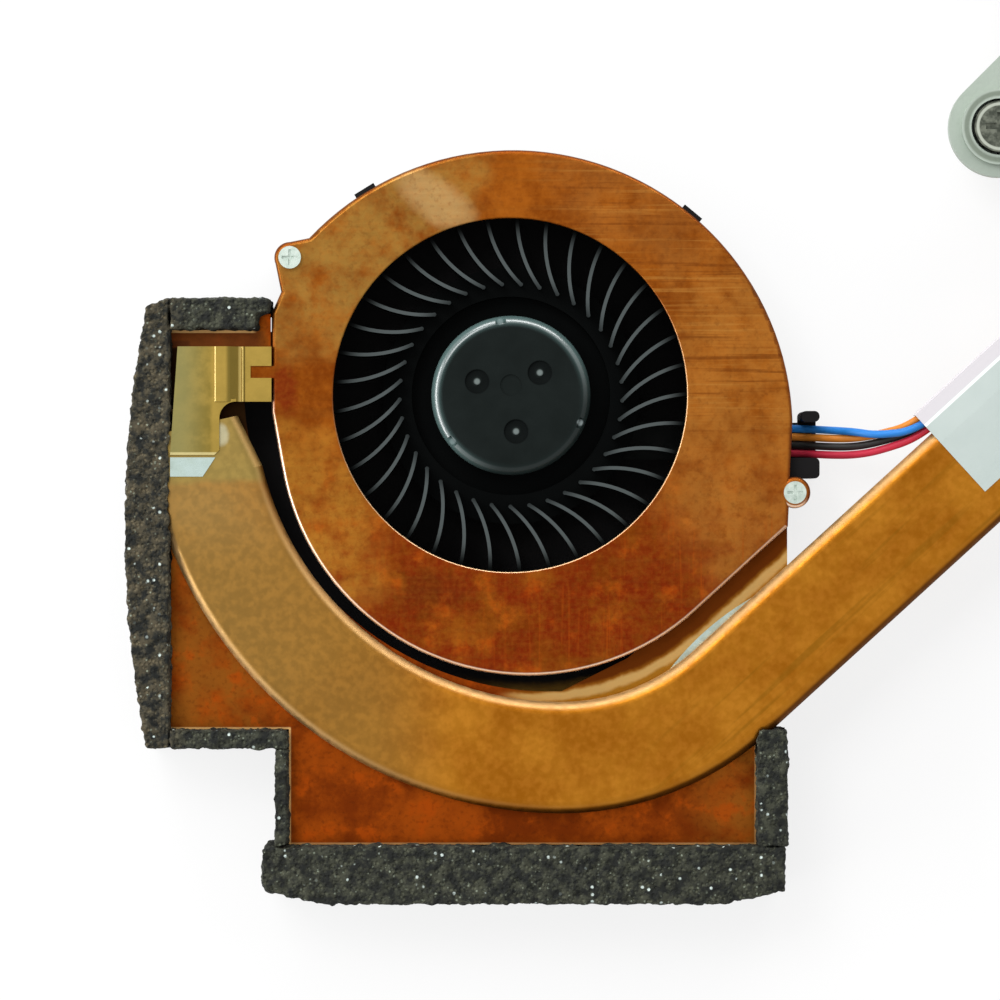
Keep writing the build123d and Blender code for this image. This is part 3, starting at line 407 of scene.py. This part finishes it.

# %% [markdown]
# The pipe is drawn copper, pressed flat. It is more golden than the sheet and pale at its closed end, where
# flux and a drop of solder have dried beside the clip. Faint dark lines follow its slanted run. A cream
# painted highlight lies along its edges that face up and to the left, and brown painted shade along those
# that face down and to the right.

# %% Drawn copper pipe
SOLDER_DROP = ((-34.7, -4.8), (0.9, 1.3), 0.0)
pipe = Paint("pipe_copper", Metallic=1.0)
right = pipe.axis("X")
up = pipe.axis("Y")
blotch = pipe.range(pipe.cloud(9.0, 6.0, rough=0.6), 0.34, 0.66)
colour = pipe.mix(blotch, srgb(146, 86, 15), srgb(168, 108, 28))
pale = pipe.range(right, -4.0, -40.0) * pipe.range(pipe.cloud(8.0, 5.0), 0.2, 0.5, 0.7, 1.0)
colour = pipe.mix(pale, colour, srgb(140, 110, 60))
dark = pipe.range(up, -13.0, -22.0) * pipe.range(right, -6.0, -18.0)
colour = pipe.mix(dark * 0.6, colour, srgb(128, 94, 40))
grain = pipe.range(pipe.cloud(0.9, 4.0), 0.3, 0.75)
colour = pipe.mix(grain * 0.14, colour, srgb(180, 126, 54))
drawn = pipe.cloud(1.0, 3.0, stretch=(0.04, 0.9, 1.0), turn=-RUN_TURN)
lines = pipe.range(drawn, 0.54, 0.7) * pipe.range(right, 12.0, 26.0, 0.0, 0.45)
colour = pipe.mix(lines, colour, srgb(122, 82, 16))
flux_edge = up + (pipe.cloud(4.0) - 0.5) * 1.6
flux = pipe.range(flux_edge, -11.0, -9.8) * pipe.range(right, -26.0, -30.0)
colour = pipe.mix(flux * 0.75, colour, srgb(140, 122, 66))
drop = patch(pipe, *SOLDER_DROP, 0.8)
colour = pipe.mix(drop * 0.7, colour, srgb(176, 172, 144))
edge = pipe.range(pipe.facing("Z"), 0.98, 0.75)
slant = pipe.facing("Y") * 0.7 - pipe.facing("X") * 0.7
# Painted shade in brown on edges facing down and right, painted highlight in cream on edges facing up and
# left.
colour = pipe.mix(edge * pipe.range(slant, -0.2, -0.6), colour, srgb(98, 56, 14))
colour = pipe.mix(edge * pipe.range(slant, -0.45, 0.05) * 0.85, colour, srgb(206, 168, 114))
pipe.feed(Base_Color=colour)
pipe.feed(Roughness=pipe.range(grain, 0.0, 1.0, 0.34, 0.48) + edge * 0.2)
pipe.bump(pipe.cloud(3.0, 4.0), 0.05, 0.3)
dress(pipe, "heat_pipe")
print("pipe finish", pipe.material.name)

# %% [markdown]
# Small metal parts each get a plain finish with some grain, so that they don't look like one flat colour.


# %% Small metal parts
def grained_metal(name, clean, worn, grain, rough):
    """Metal with worn and clean areas of about grain millimetres."""
    paint = Paint(name, Metallic=1.0)
    wear = paint.range(paint.cloud(grain, 5.0), 0.35, 0.65)
    paint.feed(Base_Color=paint.mix(wear, worn, clean))
    paint.feed(Roughness=paint.range(wear, 0.0, 1.0, rough + 0.12, rough))
    paint.bump(paint.cloud(grain / 6, 3.0), 0.02, 0.4)
    return paint


plain_steel = [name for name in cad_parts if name.startswith(("screw_spring_", "screw_ring_"))]
plain_steel += ["rotor_yoke", "fan_shaft", "stator_core"]
# Each metal: clean colour, worn colour, grain in millimetres, roughness, and the pieces made of it.
METALS = {
    "solder": (srgb(188, 206, 200), srgb(164, 180, 172), 1.6, 0.26, ["clip_solder", "pipe_solder"]),
    "bearing_brass": (srgb(200, 165, 90), srgb(160, 125, 60), 2.0, 0.3, ["bearing_sleeve"]),
    "plate_copper": (srgb(200, 120, 66), srgb(160, 84, 36), 5.0, 0.3, ["cold_plate"]),
    "coil_copper": (srgb(186, 96, 40), srgb(140, 60, 20), 0.6, 0.35, ["stator_coils"]),
    "head_steel": (srgb(212, 224, 214), srgb(176, 190, 180), 0.8, 0.26, ["cover_screws"]),
    "steel": (srgb(200, 202, 200), srgb(150, 150, 146), 0.8, 0.26, plain_steel),
    "magnet": (srgb(70, 70, 72), srgb(50, 50, 52), 0.5, 0.55, ["rotor_magnet"]),
}
for metal, (clean, worn, grain, rough, pieces) in METALS.items():
    dress(grained_metal(metal, clean, worn, grain, rough), *pieces)
print("metals", len(METALS))

# %% [markdown]
# The bracket is a pale casting, and its captive screws are dark steel. On each lug a ring of painted shade
# lies round the cup, and a ring of painted highlight marks the rim of the screw's head.

# %% Bracket and its screws
screws = [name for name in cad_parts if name.startswith("cpu_screw_")]
LUG_PLACES = ((58.8, 32.3), (100.8, 32.3), (100.8, 74.3), (58.8, 74.3))
cast = Paint("bracket_alloy", Metallic=0.55, Roughness=0.5)
steel = Paint("screw_steel", Metallic=1.0, Roughness=0.34)
alloy = cast.mix(cast.cloud(5.0), srgb(146, 158, 147), srgb(170, 180, 169))
head = steel.mix(steel.range(steel.cloud(0.9, 5.0), 0.35, 0.65), srgb(72, 76, 68), srgb(116, 120, 108))
for place in LUG_PLACES:
    ring = cast.reach(*place)
    # Painted shade round each cup, and a painted highlight on the rim of each screw's head.
    alloy = cast.mix(cast.band(ring, 3.85, 4.15, 0.3) * 0.8, alloy, srgb(104, 114, 100))
    head = steel.mix(steel.band(steel.reach(*place), 2.6, 2.8, 0.15) * 0.8, head, srgb(196, 202, 188))
cast.feed(Base_Color=alloy)
steel.feed(Base_Color=head)
cast.bump(cast.cloud(0.45, 3.0), 0.05, 0.5)
steel.bump(steel.cloud(0.3, 3.0), 0.03, 0.4)
dress(cast, "cpu_bracket")
dress(steel, *screws)
print("captive screws", len(screws))

# %% [markdown]
# The clip is brass sheet, greyer at its left and more golden on its strip at the right. Painted highlights
# lie on its bends that face left, on its rib and on its lower lip, and painted shade on its slopes that
# face right.

# %% Brass clip
CLIP_RIB_X = -32.4
CLIP_LOW_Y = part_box("pipe_clip")[0][1] / MM
clip = Paint("clip_brass", Metallic=1.0, Roughness=0.36)
wear = clip.range(clip.cloud(2.2, 5.0), 0.35, 0.65)
colour = clip.mix(wear, srgb(122, 104, 46), srgb(148, 124, 58))
colour = clip.mix(clip.range(clip.axis("X"), -35.5, -40.0) * 0.75, colour, srgb(132, 128, 82))
strip_part = clip.range(clip.axis("X"), -36.2, -35.6)
colour = clip.mix(strip_part * 0.6, colour, srgb(166, 138, 66))
# Painted shade on faces that turn right, and painted highlights on faces that turn left, on the rib and the
# lower lip.
colour = clip.mix(clip.range(clip.facing("X"), 0.1, 0.5) * 0.8, colour, srgb(118, 102, 46))
colour = clip.mix(clip.range(clip.facing("X"), -0.1, -0.5) * 0.8, colour, srgb(206, 184, 122))
rib = clip.band(clip.axis("X"), CLIP_RIB_X - 0.2, CLIP_RIB_X + 0.2, 0.2)
colour = clip.mix(rib * 0.6, colour, srgb(196, 172, 104))
lip = clip.band(clip.axis("Y"), CLIP_LOW_Y, CLIP_LOW_Y + 0.25, 0.12)
colour = clip.mix(lip * 0.7, colour, srgb(208, 194, 138))
clip.feed(Base_Color=colour)
clip.bump(clip.cloud(0.4, 3.0), 0.02, 0.4)
dress(clip, "pipe_clip")
print("clip's lower edge at", round(CLIP_LOW_Y, 1))

# %% [markdown]
# Pressing a captive screw shortens the spring under its head. A copy of each spring, with a mesh of its
# own, stands for its solid and moves with the heatsink.

# %% Screw springs
for number in range(1, 5):
    node = f"screw_spring_{number}"
    coil = bpy.data.objects.new(f"{node}_coil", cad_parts[node].data.copy())
    bpy.context.scene.collection.objects.link(coil)
    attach(coil, "heatsink")
    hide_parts(node)
    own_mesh(coil)

# %% [markdown]
# The housing is a matt black moulding, with some gold flux spilt on its ledge below the cover. The motor's
# board is nearly black, and the fan's plug and the pad under its shaft are white.


# %% Housing, board and plug
def moulding(name, colour, rough, grain, shine=0.5):
    """Moulded plastic with a fine texture."""
    paint = Paint(name, Specular_IOR_Level=shine)
    tone = paint.cloud(2.5)
    lighter = tuple(min(1.0, value * 1.5 + 0.002) for value in colour[:3]) + (1.0,)
    paint.feed(Base_Color=paint.mix(tone, colour, lighter))
    paint.feed(Roughness=paint.range(tone, 0.3, 0.7, rough, rough + 0.1))
    paint.bump(paint.cloud(grain, 2.0), 0.02, 0.4)
    return paint


housing = Paint("housing_plastic", Specular_IOR_Level=0.1, Roughness=0.55)
colour = housing.mix(housing.cloud(2.5), srgb(13, 12, 13), srgb(20, 18, 19))
off = off_cover(housing) + (housing.cloud(2.0) - 0.5) * 0.8
spill = housing.range(off, 0.9, 2.3) * housing.range(housing.axis("X"), -8.0, 3.0)
spill = spill * housing.range(housing.axis("Y"), -20.0, -24.0)
spill = spill * housing.range(housing.facing("Z"), 0.5, 0.9)
housing.feed(Base_Color=housing.mix(spill, colour, srgb(150, 112, 44)))
housing.bump(housing.cloud(0.25, 2.0), 0.02, 0.4)
dress(housing, "fan_housing")
dress(moulding("board", srgb(12, 17, 15), 0.4, 0.8, 0.1), "motor_board")
dress(moulding("white_plastic", srgb(226, 224, 214), 0.45, 0.3), "fan_plug", "thrust_pad")
print("housing nodes", len(housing.tree.nodes))

# %% [markdown]
# The impeller is dull black, with a painted highlight along the blades' upper edges that fades towards both
# ends of each blade. Three small dimples on the hub get a painted highlight in their middles and painted
# shade round it, and three notches in its rim get painted glints. The rim itself is rounded; on its side
# towards the lamps it is glossy and carries a painted sheen.

# %% Impeller
BLADE_TOP = 8.6
BLADE_RING = (15.2, 18.2)
HUB_R = 9.8
PIP_RING = 4.4
PIP_START = 38.0
NOTCH_RING = 8.95
NOTCH_START = 98.4
blower = Paint("impeller_plastic", Roughness=0.4, Specular_IOR_Level=0.02)
blower.feed(Coat_Roughness=0.24, Coat_IOR=2.2)
height = blower.axis("Z")
out = blower.reach(0.0, 0.0)
tone = blower.mix(blower.cloud(3.0, 4.0), srgb(5, 6, 6), srgb(9, 11, 11))
lid = blower.range(out, HUB_R, HUB_R - 0.3) * blower.range(height, 8.2, 8.8)
tone = blower.mix(lid, tone, blower.mix(blower.cloud(4.0), srgb(16, 20, 19), srgb(29, 34, 33)))
# Painted highlight along the blades' upper edges, fading towards both ends.
blade_highlight = blower.band(height, BLADE_TOP - 0.05, BLADE_TOP + 0.05, 0.2)
blade_highlight = blade_highlight * blower.band(out, *BLADE_RING, 3.0)
tone = blower.mix(blade_highlight * (1.0 - lid), tone, srgb(72, 78, 78))
# For each dimple a painted highlight in its middle and painted shade round it; for each notch a painted
# glint.
for turn in (0, 120, 240):
    angle = math.radians(PIP_START + turn)
    from_pip = blower.reach(PIP_RING * math.cos(angle), PIP_RING * math.sin(angle))
    tone = blower.mix(blower.range(from_pip, 0.5, 0.2) * 0.8, tone, srgb(116, 126, 124))
    tone = blower.mix(blower.band(from_pip, 0.7, 1.4, 0.2) * 0.6, tone, srgb(10, 12, 12))
    angle = math.radians(NOTCH_START + turn)
    from_notch = blower.reach(NOTCH_RING * math.cos(angle), NOTCH_RING * math.sin(angle))
    glint = blower.range(from_notch, 0.5, 0.2) * blower.range(height, 7.0, 8.0)
    tone = blower.mix(glint * 0.8, tone, srgb(140, 150, 150))
# The side of the hub towards the lamps gets a painted sheen on its rim, and the clear coat.
lit_side = blower.range(blower.axis("Y") * 0.8 - blower.axis("X") * 0.6, -7.0, 1.0, 0.12, 1.0)
sheen = blower.range(out, HUB_R - 1.7, HUB_R - 0.5) * lid * lit_side
blower.feed(Base_Color=blower.mix(sheen * 0.6, tone, srgb(96, 122, 120)))
blower.feed(Coat_Weight=lid * lit_side * blower.range(blower.facing("Z"), 0.98, 0.92) * 0.8)
blower.bump(blower.cloud(0.5, 2.0), 0.01, 0.3)
dress(blower, "impeller")
print("impeller nodes", len(blower.tree.nodes))

# %% [markdown]
# The tape is pale and woven. It is folded over the wires beside the pipe, and a painted highlight draws the
# fold as a white line.

# %% Tape
FOLD = 7.95
RUN_OFFSET = 44.15
tape = Paint("tape", Roughness=0.62)
beside = tape.axis("Y") * math.cos(RUN_TURN) - tape.axis("X") * math.sin(RUN_TURN) + RUN_OFFSET
colour = tape.mix(tape.cloud(4.0), srgb(172, 184, 180), srgb(186, 196, 192))
colour = tape.mix(tape.range(beside, FOLD, FOLD + 0.3), colour, srgb(204, 200, 204))
# The fold's white line is a painted highlight.
fold_highlight = tape.band(beside, FOLD - 0.1, FOLD + 0.1, 0.15)
tape.feed(Base_Color=tape.mix(fold_highlight, colour, srgb(240, 246, 244)))
tape.bump(tape.cloud(0.5, 2.0), 0.03, 0.5)
dress(tape, "wire_tape")
print("tape finish", tape.material.name)

# %% [markdown]
# The foam has open cells. It is dark and pitted, with small bright specks of painted highlight where cell
# walls catch the light, and it is browner in the left strip.

# %% Foam finish
foam_paint = Paint("foam", Roughness=0.9, Specular_IOR_Level=0.38)


def foam_cells(size, output):
    """Random cells of about size millimetres: their distances or their colours."""
    return foam_paint.node(
        "ShaderNodeTexVoronoi", None, {"Vector": foam_paint.place(), "Scale": 1.0 / size}, output=output
    )


def foam_sparks(size, share):
    """Small bright dots of painted highlight in some of the cells."""
    chance = foam_paint.node("ShaderNodeSeparateColor", None, {0: foam_cells(size, "Color")})
    dot = foam_paint.range(foam_cells(size, "Distance"), 0.34, 0.16)
    return dot * foam_paint.range(chance, 1.0 - share, 1.0 - share / 2)


pit = foam_paint.range(foam_cells(0.55, "Distance"), 0.1, 0.6)
foam_tone = foam_paint.range(foam_paint.cloud(1.5, 4.0, rough=0.7), 0.4, 0.64)
foam_colour = foam_paint.mix(foam_tone, srgb(11, 14, 10), srgb(78, 80, 64))
warm = foam_paint.range(foam_paint.axis("X"), -38.0, -42.0)
foam_colour = foam_paint.mix(warm * foam_tone * 0.5, foam_colour, srgb(112, 94, 68))
foam_colour = foam_paint.mix(pit * 0.5, foam_colour, srgb(10, 13, 10))
# Two sizes of painted highlight specks.
foam_colour = foam_paint.mix(foam_sparks(0.5, 0.4) * foam_tone * 0.6, foam_colour, srgb(150, 160, 142))
foam_colour = foam_paint.mix(foam_sparks(0.75, 0.12) * 0.9, foam_colour, srgb(206, 220, 214))
foam_paint.feed(Base_Color=foam_colour)
foam_paint.bump(pit, 0.25, 0.8)
print("foam nodes", len(foam_paint.tree.nodes))

# %% [markdown]
# The strips are cut from that foam. Their faces are pitted and their edges crumble, which no flat solid can
# show. Each strip starts as a copy of its solid, gets an even skin of small faces from a voxel remesh, and
# is then pushed in and out by noise.

# %% Foam strips
FOAM_STRIPS = ("left_foam", "top_foam", "step_foam", "notch_foam", "bottom_foam", "right_foam")
FOAM_WELD = 0.001 * MM
FOAM_VOXEL = 0.3 * MM
FOAM_CRUMB = 0.5 * MM
FOAM_CRUMB_SIZE = 1.3 * MM
FOAM_PIT_SIZE = 0.6 * MM
FOAM_PIT_SHIFT = Vector((7.0, 3.0, 5.0))
FOAM_LUMP_SHARE = 0.6
FOAM_PIT_SHARE = 0.5
FOAM_WEAR = 0.05


def foam_strip(node):
    """A crumbly strip of foam in the place of its solid."""
    shape = bmesh.new()
    shape.from_mesh(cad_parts[node].data)
    bmesh.ops.remove_doubles(shape, verts=shape.verts, dist=FOAM_WELD)
    mesh = bpy.data.meshes.new(f"{node}_skin")
    shape.to_mesh(mesh)
    shape.free()
    block = bpy.data.objects.new(f"{node}_block", mesh)
    bpy.context.scene.collection.objects.link(block)
    remesh = block.modifiers.new("even skin", "REMESH")
    remesh.mode = "VOXEL"
    remesh.voxel_size = FOAM_VOXEL
    evaluated = block.evaluated_get(bpy.context.evaluated_depsgraph_get())
    even = bpy.data.meshes.new_from_object(evaluated)
    bpy.data.objects.remove(block)
    shape = bmesh.new()
    shape.from_mesh(even)
    shape.normal_update()
    moves = []
    for vert in shape.verts:
        lump = noise.noise(vert.co / FOAM_CRUMB_SIZE)
        hole = noise.noise(vert.co / FOAM_PIT_SIZE + FOAM_PIT_SHIFT)
        height = FOAM_LUMP_SHARE * lump + FOAM_PIT_SHARE * hole - FOAM_WEAR
        moves.append(vert.normal * FOAM_CRUMB * height)
    for vert, move in zip(shape.verts, moves):
        vert.co += move
    shape.to_mesh(even)
    shape.free()
    piece = bpy.data.objects.new(f"{node}_soft", even)
    bpy.context.scene.collection.objects.link(piece)
    piece.data.materials.clear()
    piece.data.materials.append(foam_paint.material)
    for polygon in piece.data.polygons:
        polygon.use_smooth = True
    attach(piece, "heatsink")
    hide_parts(node)
    return len(piece.data.polygons)


for strip in FOAM_STRIPS:
    print(strip, "faces", foam_strip(strip))

# %% [markdown]
# Four thin wires leave the fan side by side, bunch together under the tape, and end in a small plug. They
# follow one given route, the same as their solids. At each point of it, a table says where each wire
# lies in the bundle: how far to the left and how far up, in wire pitches.

# %% Wire routes
WIRE_DIAMETER = 0.93 * MM
WIRE_PITCH = 1.0 * MM
FLAT = {"blue": (1.5, 0), "orange": (0.5, 0), "black": (-0.5, 0), "red": (-1.5, 0)}
LIFT = {"blue": (1.35, 0.65), "orange": (0.6, -0.3), "black": (-0.4, -0.3), "red": (-1.4, 0)}
HALF = {"blue": (0.85, 0.75), "orange": (0.85, -0.45), "black": (-0.1, -0.5), "red": (-1.1, 0)}
TIED = {"blue": (-0.3, 0.7), "orange": (0.52, -0.15), "black": (-0.33, -0.7), "red": (-1.15, -0.15)}
FAN = {"blue": (0.4, 0.5), "orange": (1.25, 0), "black": (-0.4, -0.5), "red": (-1.25, 0)}
PLUG = {"blue": (0.5, 0), "orange": (1.5, 0), "black": (-0.5, 0), "red": (-1.5, 0)}
ROUTE = (
    (29.460, -5.342, 1.95, FLAT),
    (34.460, -5.402, 3.20, FLAT),
    (39.260, -5.702, 5.40, FLAT),
    (41.660, -5.742, 6.60, LIFT),
    (44.043, -5.627, 7.80, HALF),
    (48.574, -4.063, 9.60, TIED),
    (53.521, 0.455, 9.95, TIED),
    (58.690, 5.175, 9.85, TIED),
    (63.786, 9.828, 9.90, TIED),
    (67.019, 13.999, 8.40, FAN),
    (68.860, 18.500, 5.30, PLUG),
    (69.160, 23.100, 2.50, PLUG),
    (69.060, 27.400, 1.40, PLUG),
    (69.060, 31.000, 1.40, PLUG),
)


def wire_points(colour):
    """One wire's points, in metres: the bundle's route, moved to the wire's place across it."""
    points = []
    for index, (x, y, z, places) in enumerate(ROUTE):
        before = ROUTE[max(index - 1, 0)]
        after = ROUTE[min(index + 1, len(ROUTE) - 1)]
        heading = Vector((after[0] - before[0], after[1] - before[1], 0.0)).normalized()
        side, up = places[colour]
        across = Vector((-heading.y, heading.x, 0.0))
        points.append(Vector((x, y, z)) * MM + across * side * WIRE_PITCH + Vector((0, 0, up * WIRE_PITCH)))
    return points


print("route points", len(ROUTE))

# %% [markdown]
# Each wire is one smooth NURBS spline with a round bevel, and its length is measured along that spline.

# %% Wires
WIRE_COLOURS = {
    "blue": srgb(30, 122, 204),
    "orange": srgb(214, 128, 34),
    "black": srgb(26, 24, 22),
    "red": srgb(196, 34, 62),
}


def fill_spline(line, points):
    """One open NURBS spline with these control points."""
    spline = line.splines.new("NURBS")
    spline.points.add(len(points) - 1)
    for control, point in zip(spline.points, points):
        control.co = (*point, 1.0)
    spline.order_u = 3
    spline.use_endpoint_u = True
    line.resolution_u = 12


def spline_length(points):
    """Length of the smooth line that the points control."""
    line = bpy.data.curves.new("measure", "CURVE")
    line.dimensions = "3D"
    fill_spline(line, points)
    measured = bpy.data.objects.new("measure", line)
    bpy.context.scene.collection.objects.link(measured)
    mesh = bpy.data.meshes.new_from_object(
        measured.evaluated_get(bpy.context.evaluated_depsgraph_get())
    )
    total = 0.0
    for edge in mesh.edges:
        first, second = edge.vertices
        total += (mesh.vertices[first].co - mesh.vertices[second].co).length
    bpy.data.objects.remove(measured)
    return total


for colour, tint in WIRE_COLOURS.items():
    points = wire_points(colour)
    curve = bpy.data.curves.new(f"wire_{colour}_lead", "CURVE")
    curve.dimensions = "3D"
    fill_spline(curve, points)
    curve.bevel_depth = WIRE_DIAMETER / 2
    curve.bevel_resolution = 5
    curve.use_fill_caps = True
    lead = bpy.data.objects.new(f"wire_{colour}_lead", curve)
    bpy.context.scene.collection.objects.link(lead)
    sleeve = Paint(f"wire_{colour}", Roughness=0.4, Specular_IOR_Level=0.25)
    sleeve.feed(Base_Color=sleeve.mix(sleeve.cloud(2.0) * 0.15, tint, srgb(90, 90, 90)))
    sleeve.bump(sleeve.cloud(0.4), 0.01, 0.3)
    curve.materials.append(sleeve.material)
    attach(lead, "heatsink")
    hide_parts(f"wire_{colour}")
    length = spline_length(points)
    print("wire", colour, "length", round(length / MM, 1), "mm")

# %% [markdown]
# The floor is plain white and lies just under the object. What the camera sees of it glows, so that it
# stays white and keeps only a faint shadow. From below it is clear, and the underside can be seen.

# %% Floor
FLOOR_GAP = 0.1 * MM
FLOOR_REACH = 1.5
FLOOR_GLOW = 0.8
floor_mesh = bpy.data.meshes.new("floor")
floor_shape = bmesh.new()
bmesh.ops.create_grid(floor_shape, x_segments=1, y_segments=1, size=FLOOR_REACH)
bmesh.ops.translate(floor_shape, vec=(0.0, 0.0, -FLOOR_GAP), verts=floor_shape.verts)
floor_shape.to_mesh(floor_mesh)
floor_shape.free()
floor = bpy.data.objects.new("floor", floor_mesh)
bpy.context.scene.collection.objects.link(floor)
floor_paint = Paint("floor", Base_Color=(0.9, 0.9, 0.9, 1.0), Roughness=0.9)
seen = floor_paint.node("ShaderNodeLightPath", output="Is Camera Ray")
glow = floor_paint.node("ShaderNodeEmission", None, {"Color": (1.0, 1.0, 1.0, 1.0), "Strength": 1.0})
surface = Shade(floor_paint, floor_paint.shader.outputs[0])
blend = floor_paint.node("ShaderNodeMixShader", None, {0: seen * FLOOR_GLOW, 1: surface, 2: glow})
under = floor_paint.node("ShaderNodeNewGeometry", output="Backfacing")
clear = floor_paint.node("ShaderNodeBsdfTransparent")
blend = floor_paint.node("ShaderNodeMixShader", None, {0: under, 1: blend, 2: clear})
floor_paint.put(floor_paint.tree.nodes["Material Output"].inputs["Surface"], blend)
floor.data.materials.append(floor_paint.material)
print("floor reaches", FLOOR_REACH, "m")

# %% [markdown]
# Light falls on the object from a soft lamp up and to the left, a low strip at the top, one at the left,
# and the sky. The two strips draw the bright lines along the rounded edges. The camera and reflections see
# the world as white, and on dull surfaces its light is weaker.


# %% Lamps and world
def soft_lamp(name, place, size, watts):
    """A rectangular lamp that faces the middle of the fan."""
    lamp = bpy.data.lights.new(name, "AREA")
    lamp.shape = "RECTANGLE"
    lamp.size, lamp.size_y = size
    lamp.energy = watts
    stand = bpy.data.objects.new(name, lamp)
    stand.location = place
    stand.rotation_euler = (-Vector(place)).to_track_quat("-Z", "Y").to_euler()
    bpy.context.scene.collection.objects.link(stand)


# Each lamp: name, place and size in metres, and watts.
LAMPS = (
    ("key", (-0.28, 0.32, 0.6), (0.35, 0.35), 2.4),
    ("top strip", (0.05, 0.5, 0.24), (0.7, 0.12), 2.2),
    ("left strip", (-0.5, -0.05, 0.22), (0.6, 0.12), 2.0),
)
SKY_LIGHT = 0.55
for lamp in LAMPS:
    soft_lamp(*lamp)
sky = Sky("studio")
direct = sky.node("ShaderNodeLightPath", output="Is Camera Ray")
for ray in ("Is Glossy Ray", "Is Transmission Ray"):
    other = sky.node("ShaderNodeLightPath", output=ray)
    direct = sky.node("ShaderNodeMath", {"operation": "MAXIMUM"}, {0: direct, 1: other})
level = sky.node("ShaderNodeMapRange", None, {"Value": direct, "To Min": SKY_LIGHT, "To Max": 1.0})
sky.feed(Color=(1.0, 1.0, 1.0, 1.0), Strength=level)
bpy.context.scene.world = sky.world
bpy.context.scene.view_settings.view_transform = "Standard"
print("lamps", len(LAMPS))
